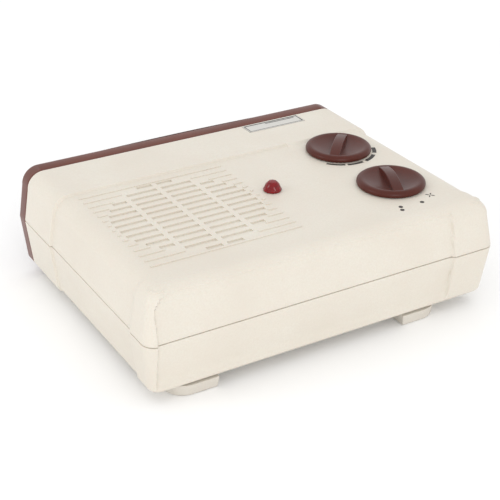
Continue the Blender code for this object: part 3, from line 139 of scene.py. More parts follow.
def spread(tree, value, low, high):
    """A value stretched so that low to high becomes 0 to 1."""
    stretched = add_node(tree, "ShaderNodeMapRange", {"Value": value, "From Min": low, "From Max": high})
    return stretched.outputs["Result"]


def colour_between(tree, shader, share, deep, light):
    """Base colour that goes from deep to light with the share."""
    colour = add_node(tree, "ShaderNodeMix", {0: share, 6: linear(deep), 7: linear(light)}, data_type="RGBA")
    tree.links.new(colour.outputs[2], shader.inputs["Base Color"])


def roughness_between(tree, shader, share, low, high):
    """Roughness that goes from low to high with the share."""
    rough = add_node(tree, "ShaderNodeMapRange", {"Value": share, "To Min": low, "To Max": high})
    tree.links.new(rough.outputs["Result"], shader.inputs["Roughness"])


def raise_grain(tree, shader, height, strength, distance):
    """A surface that is raised where the height is large."""
    bump = add_node(tree, "ShaderNodeBump", {"Height": height, "Strength": strength, "Distance": distance})
    tree.links.new(bump.outputs["Normal"], shader.inputs["Normal"])


print("cream E9E2D5 is linear", [round(c, 3) for c in linear("E9E2D5")[:3]])

# %% [markdown]
# ## Moulded plastics
# Housing, feet, cover, knobs and the fan wheel are all injection moulded. ABS and polystyrene come out of
# the mould in one even colour. Three things keep them from looking like paint: the colour drifts a little
# where the melt cooled at different speeds, the mould's spark-eroded grain breaks up the shine, and that
# grain has a height. The real grain is about 0.1 mm, too fine to show, so it is drawn a few times coarser.

# %% Moulded plastic
COLOUR_DRIFT = 45 * MM
SHEEN_DRIFT = 18 * MM


def moulded_plastic(name, light, deep, roughness, grain, height, wax=0.0, gloss=0.5):
    """Injection-moulded plastic in a colour between light and deep, with its mould's grain."""
    material, tree, shader, place = new_finish(name, IOR=1.53)
    drift = add_node(tree, "ShaderNodeTexNoise", {"Vector": place, "Scale": 1 / COLOUR_DRIFT, "Detail": 3.0})
    speck = add_node(tree, "ShaderNodeTexNoise", {"Vector": place, "Scale": 0.5 / grain, "Detail": 2.0})
    tone = add_node(tree, "ShaderNodeMath", {0: drift.outputs["Fac"], 1: speck.outputs["Fac"]},
                    operation="MULTIPLY")
    share = spread(tree, tone.outputs[0], 0.12, 0.40)
    colour_between(tree, shader, share, deep, light)
    sheen = add_node(tree, "ShaderNodeTexNoise", {"Vector": place, "Scale": 1 / SHEEN_DRIFT, "Detail": 4.0})
    sheen_share = spread(tree, sheen.outputs["Fac"], 0.3, 0.7)
    roughness_between(tree, shader, sheen_share, roughness - 0.05, roughness + 0.05)
    pits = add_node(tree, "ShaderNodeTexVoronoi", {"Vector": place, "Scale": 1 / grain})
    raise_grain(tree, shader, pits.outputs["Distance"], 0.5, height)
    shader.inputs["Specular IOR Level"].default_value = gloss
    shader.inputs["Subsurface Weight"].default_value = wax
    shader.inputs["Subsurface Scale"].default_value = 1.5 * MM
    return material


CREAM_ABS = moulded_plastic("cream_abs", "DED8CC", "D9D1C4", 0.42, 0.55 * MM, 0.02 * MM, wax=0.02, gloss=0.4)
CREAM_FOOT = moulded_plastic("cream_foot_abs", "D6D0C6", "CFC8BD", 0.48, 0.5 * MM, 0.025 * MM, gloss=0.4)
BROWN_COVER = moulded_plastic("brown_polystyrene", "6E3F33", "5F342B", 0.36, 0.5 * MM, 0.012 * MM, gloss=0.3)
BROWN_KNOB = moulded_plastic("brown_knob_abs", "572419", "471B12", 0.34, 0.4 * MM, 0.008 * MM, gloss=0.25)
BLACK_NYLON = moulded_plastic("black_nylon", "2B2826", "211E1D", 0.50, 0.5 * MM, 0.02 * MM)
FAN_PLASTIC = moulded_plastic("grey_polyamide", "4A4845", "3C3A38", 0.48, 0.6 * MM, 0.02 * MM)
RED_SILICONE = moulded_plastic("red_silicone_sleeve", "96231D", "841A16", 0.46, 0.4 * MM, 0.01 * MM)
BLACK_SILICONE = moulded_plastic("black_silicone_sleeve", "211F1F", "171616", 0.46, 0.4 * MM, 0.01 * MM)
print("moulded finishes:", [m.name for m in bpy.data.materials if m.users == 0 and "abs" in m.name])

# %% [markdown]
# ## Metals
# Zinc-plated steel is grey with cloudy crystals. The motor's core is a stack of half-millimetre sheets, so
# it shows lines at that spacing. The winding is lacquered copper wire, drawn as ridges across the coil. Fin
# strip and brass are rolled, which leaves streaks along one direction. A streak is a noise that is squeezed
# in two directions with a Mapping node.

# %% Metal finishes
SHEET_STEP = 0.5 * MM
WIRE_STEP = 0.45 * MM
STREAK_WIDTH = 0.35 * MM
CRYSTAL_SIZE = 2.2 * MM


def rolled_metal(name, light, deep, roughness, along):
    """Metal with fine rolling or brushing streaks along the axis given by along."""
    material, tree, shader, place = new_finish(name, Metallic=1.0)
    squeeze = [0.06 if axis == along else 1.0 for axis in "XYZ"]
    squeezed = add_node(tree, "ShaderNodeMapping", {"Vector": place, "Scale": squeeze})
    streak = add_node(tree, "ShaderNodeTexNoise", {"Vector": squeezed.outputs["Vector"],
                                                   "Scale": 1 / STREAK_WIDTH, "Detail": 2.0})
    colour_between(tree, shader, streak.outputs["Fac"], deep, light)
    roughness_between(tree, shader, streak.outputs["Fac"], roughness - 0.06, roughness + 0.08)
    raise_grain(tree, shader, streak.outputs["Fac"], 0.4, 0.01 * MM)
    return material


def plated_steel():
    """Zinc plating: cloudy grey crystals of a couple of millimetres."""
    material, tree, shader, place = new_finish("zinc_plated_steel", Metallic=1.0)
    crystal = add_node(tree, "ShaderNodeTexVoronoi", {"Vector": place, "Scale": 1 / CRYSTAL_SIZE})
    shade = add_node(tree, "ShaderNodeSeparateColor", {"Color": crystal.outputs["Color"]})
    colour_between(tree, shader, shade.outputs[0], "A9ABAD", "C3C5C7")
    roughness_between(tree, shader, shade.outputs[1], 0.28, 0.42)
    return material


def striped_metal(name, light, deep, step, axis, roughness, metallic):
    """Metal in layers or turns: dark lines at a real spacing along one axis."""
    material, tree, shader, place = new_finish(name, Metallic=metallic, Roughness=roughness)
    split = add_node(tree, "ShaderNodeSeparateXYZ", {"Vector": place})
    turns = add_node(tree, "ShaderNodeMath", {0: split.outputs[axis], 1: 2 * math.pi / step},
                     operation="MULTIPLY")
    wave = add_node(tree, "ShaderNodeMath", {0: turns.outputs[0]}, operation="SINE")
    share = spread(tree, wave.outputs[0], -1.0, 0.2)
    colour_between(tree, shader, share, deep, light)
    raise_grain(tree, shader, wave.outputs[0], 0.6, 0.05 * MM)
    return material


ZINC_STEEL = plated_steel()
CORE_STEEL = striped_metal("laminated_core_steel", "8A8C90", "5E6064", SHEET_STEP, "Z", 0.5, 1.0)
COPPER_WINDING = striped_metal("enamelled_copper_winding", "B4622F", "7C3D1C", WIRE_STEP, "X", 0.38, 0.6)
FIN_ALUMINIUM = rolled_metal("rolled_aluminium_strip", "D3D5D7", "BFC1C4", 0.34, "Y")
BRUSHED_PLATE = rolled_metal("brushed_anodised_aluminium", "E4E2DD", "D2D0CB", 0.42, "X")
TURNED_BRASS = rolled_metal("turned_brass", "C9A663", "B08F50", 0.30, "X")
print("metal finishes:", ZINC_STEEL.name, CORE_STEEL.name, COPPER_WINDING.name, FIN_ALUMINIUM.name)

# %% [markdown]
# ## Ceramics, glass, lens and ink
# The heating bars are sintered barium titanate: matt, dark grey and slightly speckled. Steatite insulators
# are off-white under a thin glaze. The lamp lens is clear red acrylic, so light goes into it, and most of
# its colour comes back from inside. The printed marks are a dark, nearly matt ink with uneven cover.

# %% Other finishes


def speckled_ceramic(name, light, deep, roughness, grain, glaze):
    """Fired ceramic with a grain, and a glaze from 0 to 1 over it."""
    material, tree, shader, place = new_finish(name, Roughness=roughness, Coat_Weight=glaze,
                                               Coat_Roughness=0.12)
    grains = add_node(tree, "ShaderNodeTexNoise", {"Vector": place, "Scale": 1 / grain, "Detail": 4.0})
    share = spread(tree, grains.outputs["Fac"], 0.35, 0.6)
    colour_between(tree, shader, share, deep, light)
    raise_grain(tree, shader, grains.outputs["Fac"], 0.4, 0.03 * MM)
    return material


def clear_red():
    """Clear red acrylic: deep colour, smooth skin, some light passing through."""
    material, tree, shader, place = new_finish("clear_red_acrylic", IOR=1.49, Transmission_Weight=0.12,
                                               Coat_Weight=0.15, Coat_Roughness=0.04, Specular_IOR_Level=0.3)
    depth = add_node(tree, "ShaderNodeTexNoise", {"Vector": place, "Scale": 1 / (2.5 * MM), "Detail": 2.0})
    colour_between(tree, shader, depth.outputs["Fac"], "66000A", "96060E")
    roughness_between(tree, shader, depth.outputs["Fac"], 0.08, 0.18)
    return material


def lamp_glass():
    """Thin glass of a neon lamp with its warm electrodes showing through."""
    material, tree, shader, place = new_finish("neon_lamp_glass", Roughness=0.08, Transmission_Weight=0.6)
    cloud = add_node(tree, "ShaderNodeTexNoise", {"Vector": place, "Scale": 1 / (1.5 * MM)})
    colour_between(tree, shader, cloud.outputs["Fac"], "E6C4A0", "F6E4CC")
    return material


def pad_print_ink():
    """Dark pad-printed ink, thinner in places, so that a little of the panel shows."""
    material, tree, shader, place = new_finish("pad_print_ink", Roughness=0.55)
    cover = add_node(tree, "ShaderNodeTexNoise", {"Vector": place, "Scale": 1 / (0.8 * MM), "Detail": 3.0})
    share = spread(tree, cover.outputs["Fac"], 0.4, 0.7)
    colour_between(tree, shader, share, "2E2A28", "4A4441")
    return material


PTC_CERAMIC = speckled_ceramic("sintered_ptc_ceramic", "8E8A84", "6E6A65", 0.75, 0.4 * MM, 0.0)
STEATITE = speckled_ceramic("glazed_steatite", "EAE6DD", "DDD8CC", 0.5, 0.7 * MM, 0.5)
RED_ACRYLIC = clear_red()
LAMP_GLASS = lamp_glass()
PRINT_INK = pad_print_ink()
print("lens finish:", RED_ACRYLIC.name)

# %% [markdown]
# ## Mesh tools
# Most pieces are built with bmesh and then carved or joined with the Boolean modifier. A finished piece's
# object stays at the origin, and its place is in its mesh, as in the loaded model. Edges sharper than 35
# degrees stay crisp, and the rest are shaded smooth.

# %% Mesh tools
CRISP_EDGE = math.radians(35)


def as_object(name, bm):
    """A bmesh turned into a linked object, with its faces pointing outwards."""
    bmesh.ops.remove_doubles(bm, verts=bm.verts, dist=1e-7)
    bmesh.ops.recalc_face_normals(bm, faces=bm.faces)
    mesh = bpy.data.meshes.new(name)
    bm.to_mesh(mesh)
    bm.free()
    obj = bpy.data.objects.new(name, mesh)
    bpy.context.scene.collection.objects.link(obj)
    return obj


def discard(obj):
    """Remove a helper object and its data."""
    data = obj.data
    bpy.data.objects.remove(obj)
    if isinstance(data, bpy.types.Mesh):
        bpy.data.meshes.remove(data)
    else:
        bpy.data.curves.remove(data)


def settle(obj):
    """Replace an object's mesh by its evaluated one and drop its modifiers."""
    depsgraph = bpy.context.evaluated_depsgraph_get()
    mesh = bpy.data.meshes.new_from_object(obj.evaluated_get(depsgraph))
    obj.modifiers.clear()
    old = obj.data
    obj.data = mesh
    bpy.data.meshes.remove(old)
    return obj


def combine(obj, tool, operation):
    """Carve ('DIFFERENCE') or join ('UNION') a tool, which is used up."""
    modifier = obj.modifiers.new("combine", "BOOLEAN")
    modifier.operation = operation
    modifier.solver = "EXACT"
    modifier.object = tool
    settle(obj)
    discard(tool)
    return obj


def turned(name, profile, centre, steps=96):
    """A turned solid from (radius, height) pairs, which start and end on the axis."""
    bm = bmesh.new()
    rings = []
    for radius, height in profile:
        count = steps if radius > 0 else 1
        rings.append([bm.verts.new((centre[0] + radius * math.cos(2 * math.pi * i / count),
                                    centre[1] + radius * math.sin(2 * math.pi * i / count), height))
                      for i in range(count)])
    for lower, upper in zip(rings, rings[1:]):
        for i in range(steps):
            j = (i + 1) % steps
            corners = [lower[i % len(lower)], lower[j % len(lower)],
                       upper[j % len(upper)], upper[i % len(upper)]]
            corners = list(dict.fromkeys(corners))
            if len(corners) > 2:
                bm.faces.new(corners)
    return as_object(name, bm)


def rod(name, radius, low, high, centre, steps=48):
    """A plain round tool between two heights."""
    return turned(name, [(0, low), (radius, low), (radius, high), (0, high)], centre, steps)


def block(name, low, high):
    """A box-shaped tool between two corners."""
    bm = bmesh.new()
    bmesh.ops.create_cube(bm, size=1)
    middle = [(a + b) / 2 for a, b in zip(low, high)]
    size = [b - a for a, b in zip(low, high)]
    bmesh.ops.transform(bm, matrix=Matrix.Translation(middle) @ Matrix.Diagonal((*size, 1)), verts=bm.verts)
    return as_object(name, bm)


def finish_piece(obj, material, body, slot, *replaced):
    """Give a finished mesh its material and shading, and tie it to a body of the model."""
    obj.data.materials.clear()
    obj.data.materials.append(material)
    obj.data.shade_smooth()
    obj.data.set_sharp_from_angle(angle=CRISP_EDGE)
    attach(obj, body)
    if replaced:
        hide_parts(*replaced)
    return obj


def eased(value, start, end):
    """0 before start, 1 after end, and a smooth rise between them."""
    share = min(max((value - start) / (end - start), 0), 1)
    return share * share * (3 - 2 * share)


def places(start, *stretches):
    """Places along a line. Each stretch is (where it ends, how far apart its places are)."""
    result = [start]
    for end, step in stretches:
        begin = result[-1]
        count = max(1, round(abs(end - begin) / step))
        result += [begin + (end - begin) * i / count for i in range(1, count + 1)]
    return result


print("mesh tools ready")

# %% [markdown]
# ## Trees that repeat
# Slots, ribs, louvres, fan blades and folded fins all repeat by a rule, so Geometry Nodes make them. A tree
# has named inputs for its sizes. It is run once on an empty object, its result is kept as a plain mesh, and
# the modifier is taken away. The first tree lays straight bars in rows: a grid of points, clipped to a
# circle, gives each bar its length, and a profile curve is swept along each one.

# %% Tree tools and the tree of clipped bars


def new_tree(name, **inputs):
    """An empty Geometry Nodes tree with named inputs, its input sockets and its output node."""
    tree = bpy.data.node_groups.new(name, "GeometryNodeTree")
    for label, kind in inputs.items():
        tree.interface.new_socket(label, in_out="INPUT", socket_type="NodeSocket" + kind)
    tree.interface.new_socket("Geometry", in_out="OUTPUT", socket_type="NodeSocketGeometry")
    return tree, add_node(tree, "NodeGroupInput").outputs, add_node(tree, "NodeGroupOutput")


def grow(name, tree, **values):
    """Run a tree with these input values and keep its result as a plain mesh object."""
    obj = bpy.data.objects.new(name, bpy.data.meshes.new(name))
    bpy.context.scene.collection.objects.link(obj)
    modifier = obj.modifiers.new(tree.name, "NODES")
    modifier.node_group = tree
    for socket in tree.interface.items_tree:
        if socket.name in values:
            modifier[socket.identifier] = values[socket.name]
    return settle(obj)


def profile_curve(name, points):
    """A closed outline of (across, up) pairs, to be swept along a line."""
    curve = bpy.data.curves.new(name, "CURVE")
    curve.dimensions = "2D"
    spline = curve.splines.new("POLY")
    spline.points.add(len(points) - 1)
    for point, (across, up) in zip(spline.points, points):
        point.co = (across, up, 0, 1)
    spline.use_cyclic_u = True
    obj = bpy.data.objects.new(name, curve)
    bpy.context.scene.collection.objects.link(obj)
    return obj


def realize_and_paint(tree, shape, given, result):
    """The end of every tree: real geometry in the given finish."""
    solid = add_node(tree, "GeometryNodeRealizeInstances", {"Geometry": shape.outputs[0]})
    painted = add_node(tree, "GeometryNodeSetMaterial", {"Geometry": solid.outputs[0],
                                                         "Material": given["Finish"]})
    tree.links.new(painted.outputs[0], result.inputs[0])


def sweep_bars(tree, points, length, shift, profile, given, result):
    """The shared end of the bar trees: lines on points, swept, placed and given a finish."""
    line = add_node(tree, "GeometryNodeMeshLine", {"Count": 2, "Start Location": (-0.5, 0, 0),
                                                   "Offset": (0.5, 0, 0)}, mode="END_POINTS")
    scale = add_node(tree, "ShaderNodeCombineXYZ", {"X": length, "Y": 1.0, "Z": 1.0})
    lines = add_node(tree, "GeometryNodeInstanceOnPoints", {"Points": points, "Instance": line.outputs[0],
                                                            "Scale": scale.outputs[0]})
    across = add_node(tree, "ShaderNodeCombineXYZ", {"X": shift})
    moved = add_node(tree, "GeometryNodeTranslateInstances", {"Instances": lines.outputs[0],
                                                              "Translation": across.outputs[0],
                                                              "Local Space": False})
    edges = add_node(tree, "GeometryNodeRealizeInstances", {"Geometry": moved.outputs[0]})
    paths = add_node(tree, "GeometryNodeMeshToCurve", {"Mesh": edges.outputs[0]})
    outline = add_node(tree, "GeometryNodeObjectInfo", {"Object": profile})
    bars = add_node(tree, "GeometryNodeCurveToMesh", {"Curve": paths.outputs[0],
                                                      "Profile Curve": outline.outputs["Geometry"],
                                                      "Fill Caps": True})
    placed = add_node(tree, "GeometryNodeTransform", {"Geometry": bars.outputs[0],
                                                      "Translation": given["Centre"],
                                                      "Rotation": given["Tilt"]})
    realize_and_paint(tree, placed, given, result)


def calculate(tree, operation, *values):
    """A Math node's result, from numbers or sockets."""
    return add_node(tree, "ShaderNodeMath", dict(enumerate(values)), operation=operation).outputs[0]


def point_axes(tree):
    """The X and Y of each point."""
    place = add_node(tree, "ShaderNodeSeparateXYZ", {0: add_node(tree, "GeometryNodeInputPosition").outputs[0]})
    return place.outputs["X"], place.outputs["Y"]


def room_in_circle(tree, radius, y):
    """Half a circle's chord at y, squared; it is negative past the circle."""
    return calculate(tree, "SUBTRACT", calculate(tree, "POWER", radius, 2.0), calculate(tree, "MULTIPLY", y, y))


def clipped_bars_tree():
    """Bars in rows and columns with bridges between them, clipped to a circle."""
    tree, given, result = new_tree("clipped_bars", Rows="Int", Pitch="Float", Columns="Int", Spacing="Float",
                                   Bridge="Float", Radius="Float", Shortest="Float", Profile="Object",
                                   Centre="Vector", Tilt="Vector", Finish="Material")
    width = calculate(tree, "MULTIPLY", calculate(tree, "SUBTRACT", given["Columns"], 1), given["Spacing"])
    depth = calculate(tree, "MULTIPLY", calculate(tree, "SUBTRACT", given["Rows"], 1), given["Pitch"])
    grid = add_node(tree, "GeometryNodeMeshGrid", {"Size X": width, "Size Y": depth,
                                                   "Vertices X": given["Columns"],
                                                   "Vertices Y": given["Rows"]})
    x, y = point_axes(tree)
    room = room_in_circle(tree, given["Radius"], y)
    half = calculate(tree, "SQRT", calculate(tree, "MAXIMUM", room, 0.0))
    reach = calculate(tree, "MULTIPLY", calculate(tree, "SUBTRACT", given["Spacing"], given["Bridge"]), 0.5)
    left = calculate(tree, "MAXIMUM", calculate(tree, "SUBTRACT", x, reach),
                     calculate(tree, "MULTIPLY", half, -1.0))
    right = calculate(tree, "MINIMUM", calculate(tree, "ADD", x, reach), half)
    length = calculate(tree, "SUBTRACT", right, left)
    middle = calculate(tree, "MULTIPLY", calculate(tree, "ADD", left, right), 0.5)
    short = calculate(tree, "LESS_THAN", length, given["Shortest"])
    kept = add_node(tree, "GeometryNodeDeleteGeometry", {"Geometry": grid.outputs[0], "Selection": short})
    shift = calculate(tree, "SUBTRACT", middle, x)
    sweep_bars(tree, kept.outputs[0], length, shift, given["Profile"], given, result)
    return tree


CLIPPED_BARS = clipped_bars_tree()
print("tree inputs:", [socket.name for socket in CLIPPED_BARS.interface.items_tree])

# %% [markdown]
# ## Intake slots and ribs
# The intake is a round field of fourteen rows of slots, broken by three straight bridges that hold the bars.
# Each slot has a rounded lip, so the cutter's profile flares in a quarter circle where it meets the panel.
# Outside the circle thin moulded ribs run on, halfway between the rows of slots. The ribs need a second
# tree, because they fill what the circle leaves free.

# %% Slot cutters and ribs
INTAKE_RADIUS = 48.2 * MM
SLOT_ROWS = 14
SLOT_PITCH = 7.16 * MM
SLOT_OPENING = 2.5 * MM
SLOT_LIP = 0.45 * MM
BRIDGE_SPACING = 24.6 * MM
BRIDGE_WIDTH = 3.4 * MM
RIB_COUNT = 15
RIB_FIELD_LENGTH = 101.8 * MM
RIB_HEIGHT = 0.85 * MM
RIB_WIDTH = 1.4 * MM
ROUND_ANGLES = [math.radians(15 * i) for i in range(7)]
NO_TILT = (0.0, 0.0, 0.0)


def lipped_profile(opening, lip, depth, proud):
    """Outline of a slot cutter: straight below, flared by a quarter circle at the surface."""
    side = [(opening / 2, -depth)]
    side += [(opening / 2 + lip * (1 - math.cos(a)), -lip + lip * math.sin(a)) for a in ROUND_ANGLES]
    side.append((opening / 2 + lip, proud))
    return side + [(-across, up) for across, up in reversed(side)]


def slot_cutters():
    """All the slots of the intake as one tool."""
    profile = profile_curve("slot_profile", lipped_profile(SLOT_OPENING, SLOT_LIP, 4 * MM, 1 * MM))
    slots = grow("slot_cutters", CLIPPED_BARS, Rows=SLOT_ROWS, Pitch=SLOT_PITCH, Columns=4,
                 Spacing=BRIDGE_SPACING, Bridge=BRIDGE_WIDTH, Radius=INTAKE_RADIUS, Shortest=3 * MM,
                 Profile=profile, Centre=(FAN_AXIS.x, FAN_AXIS.y, PANEL_TOP), Tilt=NO_TILT, Finish=CREAM_ABS)
    discard(profile)
    return slots


def ribs_tree():
    """Ribs in rows that leave a circle free: two short ones beside it, or a whole one past it."""
    tree, given, result = new_tree("ribs_beside_circle", Count="Int", Pitch="Float", Length="Float",
                                   Gap="Float", Profile="Object", Centre="Vector", Tilt="Vector",
                                   Finish="Material")
    depth = calculate(tree, "MULTIPLY", calculate(tree, "SUBTRACT", given["Count"], 1), given["Pitch"])
    grid = add_node(tree, "GeometryNodeMeshGrid", {"Size X": 2.0, "Size Y": depth, "Vertices X": 2,
                                                   "Vertices Y": given["Count"]})
    x, y = point_axes(tree)
    room = room_in_circle(tree, given["Gap"], y)
    past = calculate(tree, "LESS_THAN", room, 0.0)
    half = calculate(tree, "SQRT", calculate(tree, "MAXIMUM", room, 0.0))
    outer = calculate(tree, "MULTIPLY", given["Length"], 0.5)
    start = calculate(tree, "SUBTRACT", half, calculate(tree, "MULTIPLY", past, outer))
    length = calculate(tree, "SUBTRACT", outer, start)
    middle = calculate(tree, "MULTIPLY", calculate(tree, "ADD", outer, start), 0.5)
    shift = calculate(tree, "SUBTRACT", calculate(tree, "MULTIPLY", middle, x), x)
    double = calculate(tree, "MULTIPLY", past, calculate(tree, "LESS_THAN", x, 0.0))
    tiny = calculate(tree, "LESS_THAN", length, 1 * MM)
    dropped = calculate(tree, "MAXIMUM", double, tiny)
    kept = add_node(tree, "GeometryNodeDeleteGeometry", {"Geometry": grid.outputs[0], "Selection": dropped})
    sweep_bars(tree, kept.outputs[0], length, shift, given["Profile"], given, result)
    return tree


def rib_bars():
    """The raised ribs beside the intake as one tool, sunk a little into the panel."""
    crown = [(RIB_WIDTH / 2 * math.cos(2 * a), RIB_HEIGHT * math.sin(2 * a)) for a in ROUND_ANGLES]
    sunk = -0.6 * MM
    profile = profile_curve("rib_profile", [(RIB_WIDTH / 2, sunk)] + crown + [(-RIB_WIDTH / 2, sunk)])
    ribs = grow("rib_bars", ribs_tree(), Count=RIB_COUNT, Pitch=SLOT_PITCH, Length=RIB_FIELD_LENGTH,
                Gap=INTAKE_RADIUS + 1.5 * MM, Profile=profile, Centre=(FAN_AXIS.x, FAN_AXIS.y, PANEL_TOP),
                Tilt=NO_TILT, Finish=CREAM_ABS)
    discard(profile)
    return ribs


slots = slot_cutters()
ribs = rib_bars()
print("slot tool", len(slots.data.polygons), "faces; ribs", len(ribs.data.polygons), "faces")

# %% [markdown]
# ## The two shells
# Each cream shell is a wall that follows three sides of the heater and closes over into a panel. A shell is
# built from levels. Each level is a line round the left side, the rear and the right side, a little further
# in than the one before, and the last level is filled with rows of points. Because every point is worked
# out, the shallow shapes of the real moulding are simple sums: side panels that stand in 1.5 mm behind the
# front collar, a rear panel that stands in 2 mm with one rounded upper corner, and the collar's step, which
# turns into a short ramp beside the thermostat knob. The places are closer together where a step runs.

# %% Lines of the housing
SHELL_LOW, SHELL_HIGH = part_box("top_shell")
BASE_LOW, BASE_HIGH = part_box("bottom_shell")
HALF_WIDTH = SHELL_HIGH.x
FRONT = SHELL_LOW.y
REAR = SHELL_HIGH.y
COLLAR_TOP = SHELL_HIGH.z
COLLAR_STEP = FRONT + 42 * MM
WALL = 2.5 * MM
CEILING = PANEL_TOP - WALL
UPPER_DRAFT = 3.6 * MM
TOP_ROUND = 11.5 * MM
LOWER_DRAFT = 3.5 * MM
BOTTOM_ROUND = 5 * MM
CORNER_ROUND = 8.5 * MM
RIM_ROUND = 0.35 * MM
SIDE_RECESS = 1.5 * MM
REAR_RECESS = 2 * MM
REAR_PANEL_LEFT = -91.5 * MM
REAR_PANEL_RIGHT = 118.3 * MM
REAR_PANEL_TOP = CEILING
REAR_PANEL_ROUND = 10 * MM
RAMP_SIDE = -52.8 * MM
SIDE_PLACES = places(FRONT, (FRONT + 0.8 * MM, 0.2 * MM), (COLLAR_STEP - 0.8 * MM, 4 * MM),
                     (COLLAR_STEP + 1.4 * MM, 0.2 * MM), (COLLAR_STEP + 6.5 * MM, 0.9 * MM),
                     (70 * MM, 4 * MM), (77.5 * MM, 0.75 * MM))
CORNER_ANGLES = [math.radians(5 * i) for i in range(1, 19)]
FLAT_REAR = HALF_WIDTH - CORNER_ROUND
REAR_SHARES = [x / FLAT_REAR for x in places(-FLAT_REAR, (-96 * MM, 4 * MM), (-86 * MM, 0.8 * MM),
                                             (-56 * MM, 4 * MM), (-50 * MM, 0.5 * MM), (100 * MM, 4 * MM),
                                             (FLAT_REAR, 1.1 * MM))][1:-1]


def side_recess(x, y):
    """How far a side panel stands in: a crisp step at +X, a soft one at -X, and corners left proud."""
    soft_end = 6 * MM if x < 0 else 1.2 * MM
    return SIDE_RECESS * eased(y, COLLAR_STEP, COLLAR_STEP + soft_end) * (1 - eased(y, 72 * MM, 77 * MM))


def rear_recess(x, z):
    """How far the rear panel stands in, with its rounded upper corner at +X."""
    right, above, left = REAR_PANEL_RIGHT - x, REAR_PANEL_TOP - z, x - REAR_PANEL_LEFT
    inside = min(right, above)
    if right < REAR_PANEL_ROUND and above < REAR_PANEL_ROUND:
        inside = REAR_PANEL_ROUND - math.hypot(REAR_PANEL_ROUND - right, REAR_PANEL_ROUND - above)
    floor = BASE_LOW.z + WALL
    return REAR_RECESS * eased(min(inside, left), 0, 1.1 * MM) * eased(z, floor, floor + 4 * MM)


def panel_drop(x, y):
    """How far the panel lies below the collar: a crisp step, and a ramp beside the thermostat."""
    step = eased(y, COLLAR_STEP, COLLAR_STEP + 1.0 * MM)
    ramp_length = 3 * MM + 8 * MM * eased(x, -64 * MM, RAMP_SIDE)
    ramp = eased(y, COLLAR_STEP, COLLAR_STEP + ramp_length)
    beside = eased(x, RAMP_SIDE - 0.4 * MM, RAMP_SIDE + 0.4 * MM)
    return (COLLAR_TOP - PANEL_TOP) * (beside * step + (1 - beside) * ramp)


print("collar step at y", round(COLLAR_STEP / MM, 1), "mm;", len(SIDE_PLACES), "places along a side")

# %% Build a shell from its levels


def wall_line(inset, z, wall):
    """One level of a shell, from the front of the -X side round the rear to the +X side."""
    half = HALF_WIDTH - inset - wall
    rear = REAR - inset - wall
    radius = max(CORNER_ROUND - wall - inset / 2, 2.2 * MM)
    behind = rear - radius
    flat = half - radius
    side = SIDE_PLACES + [SIDE_PLACES[-1] + (behind - SIDE_PLACES[-1]) * share for share in (0.5, 1.0)]
    arc = [(flat + radius * math.cos(a), behind + radius * math.sin(a)) for a in CORNER_ANGLES]
    left = [(-half + side_recess(-half, y) + front_round(y, wall), y) for y in side]
    left += [(-x, y) for x, y in arc]
    right = [(half - side_recess(half, y) - front_round(y, wall), y) for y in side] + arc
    back = [(share * flat, rear) for share in REAR_SHARES]
    line = left + back + list(reversed(right))
    line = [(x, y - rear_recess(x, z) if y > SIDE_PLACES[-1] else y) for x, y in line]
    return line, len(left)


def front_round(y, wall):
    """The small rounding of the outer front edge, beside the outlet cover."""
    return 0 if wall else RIM_ROUND * (1 - eased(y, FRONT, FRONT + 2 * RIM_ROUND))


def shell_sheet(bm, levels, wall, sink):
    """One face of a shell, outer or inner. Returns its lowest line and its front line."""
    rings = []
    reach = 0
    for inset, z in levels:
        line, reach = wall_line(inset, z, wall)
        rings.append([bm.verts.new((x, y, z - sink(x, y, z))) for x, y in line])
    for lower, upper in zip(rings, rings[1:]):
        for i in range(len(lower) - 1):
            bm.faces.new((lower[i], lower[i + 1], upper[i + 1], upper[i]))
    last, height = rings[-1], levels[-1][1]
    left, right = last[:reach], last[:-reach - 1:-1]
    rows = []
    for a, b in zip(left[:-1], right[:-1]):
        row = [a]
        for share in REAR_SHARES:
            x, y = [a.co[i] + (b.co[i] - a.co[i]) * (1 + share) / 2 for i in range(2)]
            row.append(bm.verts.new((x, y, height - sink(x, y, height))))
        rows.append(row + [b])
    rows.append(last[reach - 1:len(last) - reach + 1])
    for near, far in zip(rows, rows[1:]):
        for i in range(len(near) - 1):
            bm.faces.new((near[i], near[i + 1], far[i + 1], far[i]))
    return rings[0], [ring[0] for ring in rings] + rows[0][1:-1] + [ring[-1] for ring in reversed(rings)]


def build_shell(name, outer_levels, inner_levels, outer_sink, inner_sink):
    """A shell closed from its outer and inner faces."""
    bm = bmesh.new()
    outer = shell_sheet(bm, outer_levels, 0, outer_sink)
    inner = shell_sheet(bm, inner_levels, WALL, inner_sink)
    for out_line, in_line in zip(outer, inner):
        for i in range(len(out_line) - 1):
            bm.faces.new((out_line[i], out_line[i + 1], in_line[i + 1], in_line[i]))
    return as_object(name, bm)


def wall_levels(seam, edge, draft, radius, rim):
    """Levels (inset, z) from the seam up or down a drafted wall and over its rounded edge."""
    way = 1 if edge > seam else -1
    centre = edge - way * radius
    levels = [(rim, seam), (rim * 0.3, seam + way * rim * 0.3), (0, seam + way * (rim + 0.05 * MM))]
    start = levels[-1][1]
    levels += [(draft * i / 8, start + (centre - start) * i / 8) for i in range(1, 9)]
    levels += [(draft + radius * (1 - math.cos(a)), centre + way * radius * math.sin(a))
               for a in [math.radians(9 * i) for i in range(1, 11)]]
    return levels


def upper_sink(x, y, z):
    """Lowering of the top shell's outer face, growing from the seam to the panel."""
    share = (z - SHELL_LOW.z) / (COLLAR_TOP - SHELL_LOW.z)
    return share * (panel_drop(x, y) + front_round(y, 0))


def no_sink(x, y, z):
    return 0.0


